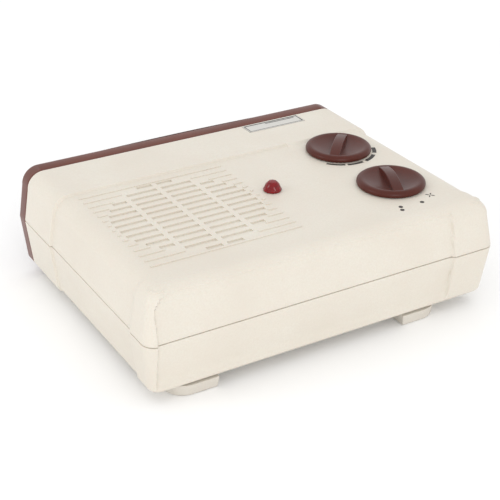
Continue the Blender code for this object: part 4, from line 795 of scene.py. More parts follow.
top_shell = build_shell("housing_top",
                        wall_levels(SHELL_LOW.z, COLLAR_TOP, UPPER_DRAFT, TOP_ROUND, RIM_ROUND),
                        wall_levels(SHELL_LOW.z, CEILING, UPPER_DRAFT, TOP_ROUND - WALL, 0.0),
                        upper_sink, no_sink)
bottom_shell = build_shell("housing_bottom",
                           wall_levels(BASE_HIGH.z, BASE_LOW.z, LOWER_DRAFT, BOTTOM_ROUND, RIM_ROUND),
                           wall_levels(BASE_HIGH.z, BASE_LOW.z + WALL, LOWER_DRAFT, BOTTOM_ROUND - WALL, 0.0),
                           no_sink, no_sink)
print("shells:", len(top_shell.data.polygons), "and", len(bottom_shell.data.polygons), "faces")

# %% [markdown]
# ## Bosses, holes and the intake
# A moulded shell carries its screw bosses inside, so these are joined to it before the holes are made. Each
# one stands on the axis of its screw in the model. The slots are cut last, through the finished panel.

# %% Finish the top shell
CASE_SCREWS = [f"case_screw_{number}" for number in range(1, 5)]
CONTROL_SCREWS = [f"{kind}_screw_{number}" for kind in ("thermostat", "selector") for number in (1, 2)]
BOSS_RADIUS = 5 * MM
CONTROL_BOSS_RADIUS = 3.4 * MM
PILOT_RADIUS = 1.8 * MM
HOLE_PLAY = 0.3 * MM
KNOB_HOLE = 6 * MM


def middle_of(node):
    """The middle of a node's box, in plan."""
    low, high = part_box(node)
    return ((low.x + high.x) / 2, (low.y + high.y) / 2)


def gathered(name, tools):
    """Several tools as one object."""
    bm = bmesh.new()
    for tool in tools:
        bm.from_mesh(tool.data)
        discard(tool)
    return as_object(name, bm)


def finish_top_shell():
    """Ribs, bosses, pilot holes, knob and lamp holes, the nameplate's seat and the slots."""
    combine(top_shell, ribs, "UNION")
    control_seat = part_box("thermostat_screw_1")[1].z
    bosses = [rod("boss", BOSS_RADIUS, SHELL_LOW.z, CEILING + 1 * MM, middle_of(node))
              for node in CASE_SCREWS]
    plate_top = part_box("selector_switch")[1].z + HOLE_PLAY
    bosses += [rod("boss", CONTROL_BOSS_RADIUS, plate_top, CEILING + 1 * MM, middle_of(node))
               for node in CONTROL_SCREWS]
    combine(top_shell, gathered("bosses", bosses), "UNION")
    holes = [rod("hole", PILOT_RADIUS, SHELL_LOW.z - 1 * MM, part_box(node)[1].z + 1 * MM, middle_of(node))
             for node in CASE_SCREWS]
    holes += [rod("hole", PILOT_RADIUS, plate_top - 1 * MM, control_seat + 0.5 * MM, middle_of(node))
              for node in CONTROL_SCREWS]
    holes += [rod("hole", KNOB_HOLE, CEILING - 2 * MM, PANEL_TOP + 2 * MM, knob)
              for knob in (THERMOSTAT, SELECTOR)]
    holes.append(rod("hole", 4.5 * MM, CEILING - 2 * MM, PANEL_TOP + 2 * MM, middle_of("indicator_lens")))
    low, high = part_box("nameplate")
    margin = Vector((HOLE_PLAY, HOLE_PLAY, HOLE_PLAY))
    holes.append(block("hole", low - margin, Vector((high.x, high.y, COLLAR_TOP + 2 * MM)) + margin))
    combine(top_shell, gathered("holes", holes), "DIFFERENCE")
    combine(top_shell, slots, "DIFFERENCE")
    return finish_piece(top_shell, CREAM_ABS, "root", "cream_shell", "top_shell")


finish_top_shell()
print("top shell finished:", len(top_shell.data.polygons), "faces")

# %% Finish the bottom shell
POST_RADIUS = 3.6 * MM
SCREW_WELL = 3.5 * MM


def finish_bottom_shell():
    """Bosses over the screw wells, posts for the scroll and the clamp, and the cord inlet's seat."""
    floor = BASE_LOW.z + WALL
    bosses = [rod("boss", BOSS_RADIUS, floor - 1 * MM, BASE_HIGH.z, middle_of(node)) for node in CASE_SCREWS]
    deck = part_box("fan_scroll")
    scroll_screws = ["scroll_screw_1", "scroll_screw_2"]
    clamp_screws = ["clamp_screw_1", "clamp_screw_2"]
    scroll_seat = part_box("scroll_screw_1")[1].z - 3.9 * MM
    clamp_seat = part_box("cord_clamp")[0].z - HOLE_PLAY
    for seat, screws in ((scroll_seat, scroll_screws), (clamp_seat, clamp_screws)):
        bosses += [rod("post", POST_RADIUS, floor - 1 * MM, seat, middle_of(node)) for node in screws]
    combine(bottom_shell, gathered("bosses", bosses), "UNION")
    wells = [rod("well", SCREW_WELL, BASE_LOW.z - 1 * MM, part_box(node)[0].z + 1.8 * MM, middle_of(node))
             for node in CASE_SCREWS]
    combine(bottom_shell, gathered("wells", wells), "DIFFERENCE")
    holes = [rod("hole", PILOT_RADIUS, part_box(node)[0].z, BASE_HIGH.z + 1 * MM, middle_of(node))
             for node in CASE_SCREWS]
    holes += [rod("hole", PILOT_RADIUS, scroll_seat - 12 * MM, scroll_seat + 1 * MM, middle_of(node))
              for node in scroll_screws]
    holes += [rod("hole", PILOT_RADIUS, clamp_seat - 8 * MM, clamp_seat + 1 * MM, middle_of(node))
              for node in clamp_screws]
    combine(bottom_shell, gathered("holes", holes), "DIFFERENCE")
    low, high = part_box("cord_inlet")
    turn = Matrix.Translation((0, (low.y + high.y) / 2, (low.z + high.z) / 2))
    turn = turn @ Matrix.Rotation(math.radians(90), 4, "Y")
    for radius, start, end in (((high.y - low.y) / 2 + HOLE_PLAY, low.x - 4 * MM, low.x + 2.5 * MM),
                               (6.3 * MM, low.x, high.x + 4 * MM)):
        seat = rod("seat", radius, start, end, (0, 0))
        seat.data.transform(turn)
        combine(bottom_shell, seat, "DIFFERENCE")
    return finish_piece(bottom_shell, CREAM_ABS, "root", "cream_shell", "bottom_shell")


finish_bottom_shell()
print("bottom shell finished:", len(bottom_shell.data.polygons), "faces")

# %% [markdown]
# ## Outlet cover
# The brown cover closes the front. It has the housing's outline, its front edge is rounded, and its face is
# bowed: the middle stands 5 mm further forward than the ends. It is built from outlines of the housing seen
# from the front, each a little smaller where the edge turns over. The louvres are cut by the same tree as
# the intake slots, tilted to face forward and with a circle too large to clip anything.

# %% Build the outlet cover
COVER_LOW, COVER_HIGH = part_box("front_grille")
COVER_EDGE = 1.8 * MM
COVER_BOW = 5 * MM
COVER_FACE = 3.5 * MM
SPIGOT_BACK = COVER_HIGH.y
LOUVRE_ROWS = 6
LOUVRE_PITCH = 8.8 * MM
LOUVRE_OPENING = 5.0 * MM
LOUVRE_LIP = 0.8 * MM
LOUVRE_SPACING = 68 * MM
LOUVRE_BRIDGE = 4 * MM
LOUVRE_MIDDLE = (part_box("heater_frame")[0].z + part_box("heater_frame")[1].z) / 2


def housing_outline(inset):
    """The housing seen from the front, as (x, z) pairs, counterclockwise from the floor."""
    seam = (SHELL_LOW.z + BASE_HIGH.z) / 2
    upper = wall_levels(seam, COLLAR_TOP, UPPER_DRAFT, TOP_ROUND, 0)[2:]
    lower = wall_levels(seam, BASE_LOW.z, LOWER_DRAFT, BOTTOM_ROUND, 0)[3:]
    right = [(HALF_WIDTH - step, z) for step, z in list(reversed(lower)) + upper]
    middle = (COLLAR_TOP + BASE_LOW.z) / 2
    wide, tall = 1 - inset / HALF_WIDTH, 1 - inset / (COLLAR_TOP - middle)
    right = [(x * wide, middle + (z - middle) * tall) for x, z in right]
    return right + [(-x, z) for x, z in reversed(right)]


def cover_block(name, inset, steps):
    """A closed block through outlines; steps are (extra inset, depth ahead of the joint) pairs."""
    bm = bmesh.new()
    rings = []
    for extra, ahead in steps:
        ring = []
        for x, z in housing_outline(inset + extra):
            bow = COVER_BOW * (x / HALF_WIDTH) ** 2 * max(ahead, 0) / (FRONT - COVER_LOW.y)
            ring.append(bm.verts.new((x, FRONT - ahead + bow, z)))
        rings.append(ring)
    count = len(rings[0])
    for near, far in zip(rings, rings[1:]):
        for i in range(count):
            bm.faces.new((near[i], near[(i + 1) % count], far[(i + 1) % count], far[i]))
    half = count // 2
    for ring, depth in ((rings[0], steps[0][1]), (rings[-1], steps[-1][1])):
        close_face(bm, ring, half, depth)
    return as_object(name, bm)


def close_face(bm, ring, half, ahead):
    """Fill an outline with rows that run from side to side and follow the bow."""
    columns = 48
    right, left = ring[:half], ring[:half - 1:-1]
    rows = []
    for a, b in zip(right, left):
        row = [a]
        for i in range(1, columns):
            x = a.co.x + (b.co.x - a.co.x) * i / columns
            bow = COVER_BOW * (x / HALF_WIDTH) ** 2 * max(ahead, 0) / (FRONT - COVER_LOW.y)
            row.append(bm.verts.new((x, FRONT - ahead + bow, a.co.z)))
        rows.append(row + [b])
    for near, far in zip(rows, rows[1:]):
        for i in range(columns):
            bm.faces.new((near[i], near[i + 1], far[i + 1], far[i]))


def make_cover():
    """The hollow, louvred cover with the spigot that plugs into both shells."""
    depth = FRONT - COVER_LOW.y
    edge = [(COVER_EDGE * (1 - math.cos(a)), depth - COVER_EDGE + COVER_EDGE * math.sin(a))
            for a in ROUND_ANGLES]
    cover = cover_block("outlet_cover", 0, [(0.25 * MM, HOLE_PLAY), (0, 0.8 * MM)] + edge)
    spigot = cover_block("spigot", WALL + HOLE_PLAY, [(0, FRONT - SPIGOT_BACK), (0, 4 * MM)])
    combine(cover, spigot, "UNION")
    hollow = [(0, FRONT - SPIGOT_BACK - 1 * MM), (0, depth - COVER_FACE)]
    inside = cover_block("inside", WALL + 2 * MM, hollow)
    combine(cover, inside, "DIFFERENCE")
    profile = profile_curve("louvre_profile", lipped_profile(LOUVRE_OPENING, LOUVRE_LIP, 12 * MM, 8 * MM))
    louvres = grow("louvre_cutters", CLIPPED_BARS, Rows=LOUVRE_ROWS, Pitch=LOUVRE_PITCH, Columns=3,
                   Spacing=LOUVRE_SPACING, Bridge=LOUVRE_BRIDGE, Radius=1.0, Shortest=3 * MM, Profile=profile,
                   Centre=(0.0, COVER_LOW.y + 0.4 * MM, LOUVRE_MIDDLE), Tilt=(math.radians(90), 0.0, 0.0),
                   Finish=BROWN_COVER)
    discard(profile)
    combine(cover, louvres, "DIFFERENCE")
    return finish_piece(cover, BROWN_COVER, "root", "brown_trim", "front_grille")


outlet_cover = make_cover()
print("outlet cover:", len(outlet_cover.data.polygons), "faces,", LOUVRE_ROWS, "rows of louvres")

# %% [markdown]
# ## Knobs
# Both knobs come from the same mould: a turned dish with a thick rounded rim, and an arched grip across it
# that also points at the scale. The dish's section is one smooth line, so it is worked out as a curve. The
# grip is a strip whose top follows the arch, with rounded shoulders and sides that spread towards the dish.

# %% Make the knobs
KNOB_RADIUS = 22.5 * MM
KNOB_LIFT = 0.7 * MM
RIM_HEIGHT = 4.5 * MM
DISH_FLOOR = 2.2 * MM
HUB_RADIUS = 5.2 * MM
HUB_DEPTH = 5.5 * MM
BORE_RADIUS = 3.3 * MM
GRIP_WIDTH = 7 * MM
GRIP_PEAK = 7.2 * MM
DISH_RADIUS = 19 * MM
RIM_ROLL = 3.2 * MM
RIM_DROP = 2.6 * MM
GRIP_REACH = 19.4 * MM
SHOULDER = 0.7 * MM
POINTERS = {"thermostat_knob": math.radians(47), "selector_knob": math.radians(69)}


def knob_section():
    """Half the section of the turned dish, from its middle over the rim and down to the bore."""
    dish = []
    for i in range(13):
        share = i / 12
        climb = (RIM_HEIGHT - DISH_FLOOR) * share ** 3 * (1.5 - 0.5 * share)
        dish.append((DISH_RADIUS * share, DISH_FLOOR + climb))
    outside = []
    for i in range(1, 10):
        a = math.radians(10 * i)
        outside.append((KNOB_RADIUS - RIM_ROLL * (1 - math.sin(a)), RIM_HEIGHT - RIM_DROP * (1 - math.cos(a))))
    skirt = [(KNOB_RADIUS, 1.5 * MM), (KNOB_RADIUS - 0.3 * MM, KNOB_LIFT), (HUB_RADIUS, KNOB_LIFT),
             (HUB_RADIUS, -HUB_DEPTH), (BORE_RADIUS, -HUB_DEPTH), (BORE_RADIUS, 1.0 * MM), (0, 1.0 * MM)]
    return dish + outside + skirt


def grip_bar(name):
    """The arched grip along X, as a strip of cross-sections."""
    bm = bmesh.new()
    sections = []
    steps = 32
    for i in range(steps + 1):
        u = GRIP_REACH * (2 * i / steps - 1)
        crown = RIM_HEIGHT - 0.4 * MM + (GRIP_PEAK - RIM_HEIGHT + 0.4 * MM) * (1 - (u / GRIP_REACH) ** 2)
        half = GRIP_WIDTH / 2
        shoulder = [(half - SHOULDER * (1 - math.cos(a)), crown - SHOULDER * (1 - math.sin(a)))
                    for a in ROUND_ANGLES]
        right = [(half + 0.5 * MM, 1.6 * MM), (half + 0.15 * MM, 3.2 * MM)] + shoulder
        outline = right + [(-v, z) for v, z in reversed(right)]
        sections.append([bm.verts.new((u, v, z)) for v, z in outline])
    count = len(sections[0])
    for near, far in zip(sections, sections[1:]):
        for i in range(count):
            bm.faces.new((near[i], near[(i + 1) % count], far[(i + 1) % count], far[i]))
    bm.faces.new(sections[0])
    bm.faces.new(sections[-1])
    return as_object(name, bm)


def make_knob(node, place, body):
    """One knob on its joint's axis, with its grip at the angle it points to at rest."""
    knob = turned(node.replace("knob", "dial"), knob_section(), (0, 0), steps=128)
    combine(knob, grip_bar("grip"), "UNION")
    knob.data.transform(Matrix.Translation(place) @ Matrix.Rotation(POINTERS[node], 4, "Z"))
    return finish_piece(knob, BROWN_KNOB, body, "brown_knob", node)


thermostat_dial = make_knob("thermostat_knob", THERMOSTAT, "thermostat_dial")
selector_dial = make_knob("selector_knob", SELECTOR, "selector_dial")
print("knob faces:", len(thermostat_dial.data.polygons), len(selector_dial.data.polygons))

# %% [markdown]
# ## Printed marks
# The thermostat's scale is a row of arcs that grow thicker towards hot, then a thin line back to the start.
# The selector has one dot for low heat, two for high and a small fan sign for cold air. Pad printing lays
# the ink on top of the panel, so each mark is a very thin plate with the outline of the mark.

# %% Print the scale, the dots and the fan sign
INK_THICKNESS = 0.12 * MM
SCALE_RADIUS = 23.3 * MM
SCALE_ARCS = [(37, 67, 1.9), (71, 99, 2.1), (105, 133, 2.6),
              (141, 161, 2.8), (168, 193, 1.1), (197, 245, 0.6)]
DOT_RADIUS = 1.4 * MM
DOTS = [(-80.3, 75.6), (-64.5, 74.5), (-62.8, 78.4)]
FAN_SIGN = (-91.0 * MM, 70.0 * MM)
PETAL_LENGTH = 2.6 * MM
PETAL_WIDTH = 0.8 * MM


def ink_plate(bm, outline, level=PANEL_TOP):
    """A thin plate of ink on a surface, from a counterclockwise outline."""
    low = [bm.verts.new((x, y, level - 0.02 * MM)) for x, y in outline]
    high = [bm.verts.new((x, y, level + INK_THICKNESS)) for x, y in outline]
    for i in range(len(outline)):
        j = (i + 1) % len(outline)
        bm.faces.new((low[i], low[j], high[j], high[i]))
    bm.faces.new(list(reversed(low)))
    bm.faces.new(high)


def circle_points(centre, radius, start, end, steps):
    """Points along an arc, angles in degrees."""
    angles = [math.radians(start + (end - start) * i / steps) for i in range(steps + 1)]
    return [(centre[0] + radius * math.cos(a), centre[1] + radius * math.sin(a)) for a in angles]


def print_marks():
    """All printed marks of the panel as one layer of ink."""
    bm = bmesh.new()
    for start, end, thick in SCALE_ARCS:
        steps = round((end - start) / 2)
        inner = circle_points(THERMOSTAT, SCALE_RADIUS, start, end, steps)
        outer = circle_points(THERMOSTAT, SCALE_RADIUS + thick * MM, start, end, steps)
        ink_plate(bm, outer + list(reversed(inner)))
    for x, y in DOTS:
        ink_plate(bm, circle_points((x * MM, y * MM), DOT_RADIUS, 0, 345, 23))
    for turn in (45, 135, 225, 315):
        petal = []
        for i in range(16):
            a = math.radians(22.5 * i)
            along = 0.5 * MM + PETAL_LENGTH / 2 * (1 + math.cos(a))
            across = PETAL_WIDTH / 2 * math.sin(a)
            c, s = math.cos(math.radians(turn)), math.sin(math.radians(turn))
            petal.append((FAN_SIGN[0] + along * c - across * s, FAN_SIGN[1] + along * s + across * c))
        ink_plate(bm, petal)
    marks = as_object("printed_marks", bm)
    return finish_piece(marks, PRINT_INK, "root", "brown_trim")


marks = print_marks()
print("marks:", len(SCALE_ARCS), "arcs,", len(DOTS), "dots and a fan sign")

# %% [markdown]
# ## Lamp lens, nameplate and feet
# The lens is a cut jewel: a flange, nine flat facets that lean in and a slightly domed top, so it is turned
# with only nine sides above its round flange. The nameplate is a plain brushed plate with a rolled border.
# The feet are D-shaped blocks with a softened lower edge.

# %% Make the lens, the nameplate and the feet
LENS_FLANGE = 6 * MM
LENS_FACETS = 9
PLATE_BORDER = 0.7 * MM
PLATE_SINK = 0.15 * MM
FOOT_EDGE = 1.2 * MM
FOOT_DRAFT = 0.8 * MM


def make_lens():
    """The jewel lens: a round flange and stem, and a faceted head."""
    centre = middle_of("indicator_lens")
    low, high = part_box("indicator_lens")
    base = PANEL_TOP + HOLE_PLAY
    stem = 4.2 * MM
    hollow = 3.0 * MM
    body = turned("jewel_lens", [(0, PANEL_TOP + 3.5 * MM), (hollow, PANEL_TOP + 2.6 * MM), (hollow, low.z),
                                 (stem, low.z), (stem, base), (LENS_FLANGE - 0.2 * MM, base),
                                 (LENS_FLANGE, base + 0.3 * MM), (LENS_FLANGE, base + 0.9 * MM),
                                 (LENS_FLANGE - 0.4 * MM, base + 1.3 * MM), (3.8 * MM, base + 1.4 * MM),
                                 (3.6 * MM, PANEL_TOP + 5.0 * MM), (0, PANEL_TOP + 5.2 * MM)],
                  centre, steps=72)
    head = turned("head", [(0, base + 0.6 * MM), (5.7 * MM, base + 0.6 * MM), (5.6 * MM, base + 1.3 * MM),
                           (4.6 * MM, PANEL_TOP + 4.4 * MM), (2.9 * MM, high.z - 0.5 * MM), (0, high.z)],
                  centre, steps=LENS_FACETS)
    bore = turned("bore", [(0, PANEL_TOP + 3.5 * MM), (hollow, PANEL_TOP + 2.6 * MM), (hollow, base),
                           (0, base)], centre, steps=72)
    combine(head, bore, "DIFFERENCE")
    combine(body, head, "UNION")
    return finish_piece(body, RED_ACRYLIC, "root", "red_lens", "indicator_lens")


def rounded_plate(bm, low, high, radius, z_low, z_high, inset):
    """A plate with rounded corners between two heights, as two rings of points."""
    rings = []
    for z, step in ((z_low, 0.0), (z_high - inset, 0.0), (z_high, inset)):
        ring = []
        corners = ((high.x, high.y, 0), (low.x, high.y, 90), (low.x, low.y, 180), (high.x, low.y, 270))
        for x, y, turn in corners:
            cx = x - math.copysign(radius, x - (low.x + high.x) / 2)
            cy = y - math.copysign(radius, y - (low.y + high.y) / 2)
            ring += circle_points((cx, cy), radius - step, turn, turn + 90, 6)
        rings.append([bm.verts.new((x, y, z)) for x, y in ring])
    for lower, upper in zip(rings, rings[1:]):
        for i in range(len(lower)):
            j = (i + 1) % len(lower)
            bm.faces.new((lower[i], lower[j], upper[j], upper[i]))
    bm.faces.new(list(reversed(rings[0])))
    bm.faces.new(rings[-1])


def make_nameplate():
    """A blank brushed plate, with a border that stands up a little."""
    low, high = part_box("nameplate")
    bm = bmesh.new()
    rounded_plate(bm, low, high, 0.8 * MM, low.z, high.z, 0.12 * MM)
    plate = as_object("blank_nameplate", bm)
    bm = bmesh.new()
    margin = Vector((PLATE_BORDER, PLATE_BORDER, 0))
    rounded_plate(bm, low + margin, high - margin, 0.4 * MM, high.z - PLATE_SINK, high.z + 1 * MM, 0.05 * MM)
    combine(plate, as_object("field", bm), "DIFFERENCE")
    return finish_piece(plate, BRUSHED_PLATE, "root", "nameplate", "nameplate")


PLATE_RULE = 0.45 * MM
PLATE_RULES = [(0.9, 0.9, 44.6, 0), (0.9, 10.25, 44.6, 0), (0.9, 0.9, 0, 9.8),
               (44.15, 0.9, 0, 9.8), (4, 2.6, 24, 0)]


def print_plate_rules():
    """A printed frame and one plain rule on the nameplate; x, y, length and height in millimetres."""
    low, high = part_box("nameplate")
    bm = bmesh.new()
    for x, y, length, height in PLATE_RULES:
        left, front = low.x + x * MM, low.y + y * MM
        right, back = left + max(length * MM, PLATE_RULE), front + max(height * MM, PLATE_RULE)
        ink_plate(bm, [(left, front), (right, front), (right, back), (left, back)], high.z - PLATE_SINK)
    return finish_piece(as_object("nameplate_rules", bm), PRINT_INK, "root", "nameplate")


def make_foot(node):
    """A D-shaped foot with a rounded lower edge, flat towards the middle of the heater."""
    low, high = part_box(node)
    way = 1 if low.x + high.x > 0 else -1
    radius = (high.y - low.y) / 2
    middle_y = (low.y + high.y) / 2
    outer = high.x if way > 0 else low.x
    flat = low.x if way > 0 else high.x
    top = BASE_LOW.z - HOLE_PLAY
    bm = bmesh.new()
    rings = []
    levels = [(FOOT_EDGE + FOOT_DRAFT, 0.0), (FOOT_DRAFT + FOOT_EDGE * 0.3, FOOT_EDGE * 0.3),
              (FOOT_DRAFT, FOOT_EDGE), (0.0, top)]
    for inset, z in levels:
        arc = circle_points((outer - way * radius, middle_y), radius - inset, -90, 90, 24)
        arc = [(outer - way * radius + way * (x - outer + way * radius), y) for x, y in arc]
        inner = flat + way * inset
        ring = [(inner, middle_y - radius + inset)] + arc + [(inner, middle_y + radius - inset)]
        rings.append([bm.verts.new((x, y, z)) for x, y in ring])
    count = len(rings[0])
    for lower, upper in zip(rings, rings[1:]):
        for i in range(count):
            bm.faces.new((lower[i], lower[(i + 1) % count], upper[(i + 1) % count], upper[i]))
    bm.faces.new(rings[0])
    bm.faces.new(rings[-1])
    foot = as_object(node.replace("foot", "support"), bm)
    pin = rod("pin", 3 * MM, top - 1 * MM, high.z, (flat + way * 13 * MM, middle_y))
    combine(foot, pin, "UNION")
    return finish_piece(foot, CREAM_FOOT, "root", "cream_foot", node)


jewel_lens = make_lens()
blank_nameplate = make_nameplate()
nameplate_rules = print_plate_rules()
feet = [make_foot(f"foot_{end}_{side}") for end in ("rear", "front") for side in ("right", "left")]
print("lens", len(jewel_lens.data.polygons), "faces;", len(feet), "feet")

# %% [markdown]
# ## Fan wheel
# Behind the slots turns a centrifugal wheel: a disc with a hub, forty forward-curved blades and a ring that
# ties their tips. One blade is modelled, and a tree sets copies of it round the axis. The whole wheel rides
# on the fan's body, so it turns with the motor's shaft.

# %% Build the fan wheel
BLADE_COUNT = 40
BLADE_THICKNESS = 0.9 * MM
BLADE_SWEEP = math.radians(24)
BLADE_DEPTH = 11 * MM
BLADE_INSET = 0.5 * MM
BLADE_SEAT = 0.8 * MM
WHEEL_BORE = 2.3 * MM
DISC_THICKNESS = 1.6 * MM
HUB_FLARE = [(12 * MM, DISC_THICKNESS), (8 * MM, 3.5 * MM), (6.5 * MM, 6 * MM),
             (5.5 * MM, 16 * MM), (0, 16 * MM)]
TIP_RING_HEIGHT = 2 * MM
TIP_RING_INSET = 4 * MM


def round_copies_tree():
    """Copies of an object set round the Z axis."""
    tree, given, result = new_tree("copies_round_an_axis", Count="Int", Copy="Object", Centre="Vector",
                                   Finish="Material")
    points = add_node(tree, "GeometryNodePoints", {"Count": given["Count"]})
    index = add_node(tree, "GeometryNodeInputIndex").outputs[0]
    step = calculate(tree, "DIVIDE", 2 * math.pi, given["Count"])
    turn = add_node(tree, "ShaderNodeCombineXYZ", {"Z": calculate(tree, "MULTIPLY", index, step)})
    shape = add_node(tree, "GeometryNodeObjectInfo", {"Object": given["Copy"]})
    copies = add_node(tree, "GeometryNodeInstanceOnPoints", {"Points": points.outputs[0],
                                                             "Instance": shape.outputs["Geometry"],
                                                             "Rotation": turn.outputs[0]})
    placed = add_node(tree, "GeometryNodeTransform", {"Geometry": copies.outputs[0],
                                                      "Translation": given["Centre"]})
    realize_and_paint(tree, placed, given, result)
    return tree


def blade(inner, outer, low, high):
    """One blade, curved forwards from the inner to the outer radius."""
    steps = 6
    front, back = [], []
    for i in range(steps + 1):
        share = i / steps
        radius = inner + (outer - inner) * share
        turn = BLADE_SWEEP * share ** 2
        half = BLADE_THICKNESS / 2 / radius
        front.append((radius * math.cos(turn + half), radius * math.sin(turn + half)))
        back.append((radius * math.cos(turn - half), radius * math.sin(turn - half)))
    outline = front + list(reversed(back))
    bm = bmesh.new()
    rings = [[bm.verts.new((x, y, z)) for x, y in outline] for z in (low, high)]
    for i in range(len(outline)):
        j = (i + 1) % len(outline)
        bm.faces.new((rings[0][i], rings[0][j], rings[1][j], rings[1][i]))
    bm.faces.new(rings[0])
    bm.faces.new(rings[1])
    return as_object("blade", bm)


def make_wheel():
    """Disc and hub, blades and tip ring, joined into one piece."""
    low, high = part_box("fan_wheel")
    radius = (high.x - low.x) / 2
    inner = radius - BLADE_DEPTH
    centre = (FAN_AXIS.x, FAN_AXIS.y)
    flare = [(across, low.z + up) for across, up in HUB_FLARE]
    wheel = turned("wheel", [(0, low.z), (radius, low.z), (radius, low.z + DISC_THICKNESS)] + flare, centre)
    one = blade(inner, radius - BLADE_INSET, low.z + BLADE_SEAT, high.z - BLADE_SEAT)
    blades = grow("blades", round_copies_tree(), Count=BLADE_COUNT, Copy=one, Centre=(*centre, 0.0),
                  Finish=FAN_PLASTIC)
    discard(one)
    combine(wheel, blades, "UNION")
    under = high.z - TIP_RING_HEIGHT
    ring = turned("ring", [(0, under), (radius, under), (radius, high.z), (0, high.z)], centre)
    opening = rod("opening", inner + TIP_RING_INSET, under - 1 * MM, high.z + 1 * MM, centre, 96)
    combine(ring, opening, "DIFFERENCE")
    combine(wheel, ring, "UNION")
    combine(wheel, rod("bore", WHEEL_BORE, low.z - 1 * MM, high.z, centre), "DIFFERENCE")
    return finish_piece(wheel, FAN_PLASTIC, "fan_rotor", "fan_moulding", "fan_wheel")


fan_wheel = make_wheel()
print("fan wheel:", BLADE_COUNT, "blades,", len(fan_wheel.data.polygons), "faces")

# %% [markdown]
# ## Folded fins
# A ceramic heating bar gives its heat to strips of aluminium, folded to and fro like a radiator's. A strip is
# a zigzag line: a row of points, every second one lifted. The tree rounds its folds, then sweeps a flat
# rectangle along it. Each of the four banks is made in the box that the model keeps for it.

# %% Fold the fins
FIN_PITCH = 2.6 * MM
FIN_STRIP = 0.3 * MM
FOLD_ROUND = 0.35 * MM


def folded_strip_tree():
    """A strip folded to and fro between two heights."""
    tree, given, result = new_tree("folded_strip", Folds="Int", Length="Float", Height="Float", Depth="Float",
                                   Strip="Float", Centre="Vector", Finish="Material")
    half = calculate(tree, "MULTIPLY", given["Length"], 0.5)
    start = add_node(tree, "ShaderNodeCombineXYZ", {"X": calculate(tree, "MULTIPLY", half, -1.0)})
    end = add_node(tree, "ShaderNodeCombineXYZ", {"X": half})
    line = add_node(tree, "GeometryNodeMeshLine", {"Count": calculate(tree, "ADD", given["Folds"], 1),
                                                   "Start Location": start.outputs[0], "Offset": end.outputs[0]},
                    mode="END_POINTS")
    odd = calculate(tree, "MODULO", add_node(tree, "GeometryNodeInputIndex").outputs[0], 2.0)
    lift = calculate(tree, "MULTIPLY", calculate(tree, "SUBTRACT", odd, 0.5), given["Height"])
    rise = add_node(tree, "ShaderNodeCombineXYZ", {"Z": lift})
    zigzag = add_node(tree, "GeometryNodeSetPosition", {"Geometry": line.outputs[0], "Offset": rise.outputs[0]})
    path = add_node(tree, "GeometryNodeMeshToCurve", {"Mesh": zigzag.outputs[0]})
    rounded = add_node(tree, "GeometryNodeFilletCurve", {"Curve": path.outputs[0], "Count": 3,
                                                         "Radius": FOLD_ROUND, "Limit Radius": True}, mode="POLY")
    section = add_node(tree, "GeometryNodeCurvePrimitiveQuadrilateral", {"Width": given["Depth"],
                                                                         "Height": given["Strip"]})
    strip = add_node(tree, "GeometryNodeCurveToMesh", {"Curve": rounded.outputs[0],
                                                       "Profile Curve": section.outputs[0], "Fill Caps": True})
    placed = add_node(tree, "GeometryNodeTransform", {"Geometry": strip.outputs[0],
                                                      "Translation": given["Centre"]})
    realize_and_paint(tree, placed, given, result)
    return tree


FOLDED_STRIP = folded_strip_tree()


def make_fins(number):
    """One bank of folded fins in its place in the model."""
    node = f"fin_bank_{number}"
    low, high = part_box(node)
    size = high - low
    fins = grow(f"folded_fins_{number}", FOLDED_STRIP, Folds=round(2 * size.x / FIN_PITCH),
                Length=size.x - FIN_STRIP, Height=size.z - FIN_STRIP, Depth=size.y, Strip=FIN_STRIP,
                Centre=(low + high) / 2, Finish=FIN_ALUMINIUM)
    return finish_piece(fins, FIN_ALUMINIUM, "root", "aluminium", node)


fin_banks = [make_fins(number) for number in range(1, 5)]
print("fins:", len(fin_banks), "banks of", len(fin_banks[0].data.polygons), "faces, box",
      [round(v / MM, 1) for v in fin_banks[0].dimensions])

# %% [markdown]
# ## Pieces kept from the model
# Screws, brackets, bearings, wires, switches and the heater's frame already have the right shape in the
# model. They stay as they are and only get their finishes, by a table from the record's slots.

# %% Finish the kept pieces
SLOT_FINISHES = {
    "cream_shell": CREAM_ABS, "cream_foot": CREAM_FOOT, "brown_trim": BROWN_COVER, "brown_knob": BROWN_KNOB,
    "nameplate": BRUSHED_PLATE, "red_lens": RED_ACRYLIC, "lamp_glass": LAMP_GLASS, "steel": ZINC_STEEL,
    "laminated_steel": CORE_STEEL, "winding": COPPER_WINDING, "brass": TURNED_BRASS,
    "aluminium": FIN_ALUMINIUM,
    "ptc_ceramic": PTC_CERAMIC, "white_ceramic": STEATITE, "black_moulding": BLACK_NYLON,
    "fan_moulding": FAN_PLASTIC, "wire_red": RED_SILICONE, "wire_black": BLACK_SILICONE,
}


def finish_kept_pieces():
    """Give every node of the model the finish of its slot. Replaced ones are hidden anyway."""
    for entry in frame["record"]["subparts"]:
        materials = frame["nodes"][entry["node"]].data.materials
        materials.clear()
        materials.append(SLOT_FINISHES[entry["material_slot"]])


finish_kept_pieces()
print("kept pieces:", sum(not node.hide_render for node in frame["nodes"].values()))

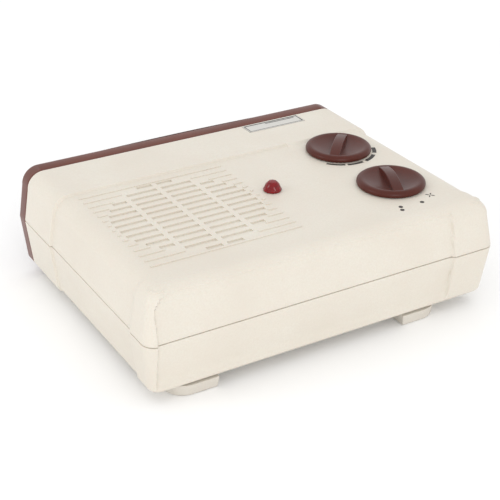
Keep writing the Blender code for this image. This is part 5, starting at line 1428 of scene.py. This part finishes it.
# %% [markdown]
# ## Floor and light
# A pale sweep and soft light from large lamps suit a plain product view. The key lamp stands behind the
# camera's left shoulder, so the rear face is brightest, and a bright room fills the shadows.

# %% Set the floor and the lights
FLOOR_SIZE = 3.0
FLOOR_GAP = 0.1 * MM
ROOM_LIGHT = 1.0
LAMP_TARGET = (0, 0, 0.04)
KEY_PLACE, KEY_SIZE, KEY_WATTS = (0.5, 1.6, 0.75), 0.7, 6
EDGE_PLACE, EDGE_SIZE, EDGE_WATTS = (1.5, -0.3, 0.9), 0.5, 3


def studio_floor():
    """A wide, pale floor just under the feet."""
    material, tree, shader, place = new_finish("pale_sweep", Roughness=0.9)
    cloud = add_node(tree, "ShaderNodeTexNoise", {"Vector": place, "Scale": 6.0})
    colour_between(tree, shader, cloud.outputs["Fac"], "FAFAFA", "FFFFFF")
    bm = bmesh.new()
    bmesh.ops.create_grid(bm, x_segments=4, y_segments=4, size=FLOOR_SIZE,
                          matrix=Matrix.Translation((0, 0, -FLOOR_GAP)))
    floor = as_object("floor", bm)
    floor.data.materials.append(material)
    return floor


def soft_lamp(name, place, target, size, watts):
    """A square area lamp aimed at a point."""
    lamp = bpy.data.lights.new(name, "AREA")
    lamp.shape = "SQUARE"
    lamp.size = size
    lamp.energy = watts
    obj = bpy.data.objects.new(name, lamp)
    obj.location = place
    obj.rotation_euler = (Vector(target) - Vector(place)).to_track_quat("-Z", "Y").to_euler()
    bpy.context.scene.collection.objects.link(obj)
    return obj


def bright_room():
    """An even white surrounding."""
    world = bpy.data.worlds.new("bright_room")
    world.use_nodes = True
    background = world.node_tree.nodes["Background"]
    background.inputs["Color"].default_value = linear("FFFFFF")
    background.inputs["Strength"].default_value = ROOM_LIGHT
    bpy.context.scene.world = world


studio_floor()
bright_room()
soft_lamp("key_lamp", KEY_PLACE, LAMP_TARGET, KEY_SIZE, KEY_WATTS)
soft_lamp("edge_lamp", EDGE_PLACE, LAMP_TARGET, EDGE_SIZE, EDGE_WATTS)
bpy.context.scene.view_settings.view_transform = "Standard"
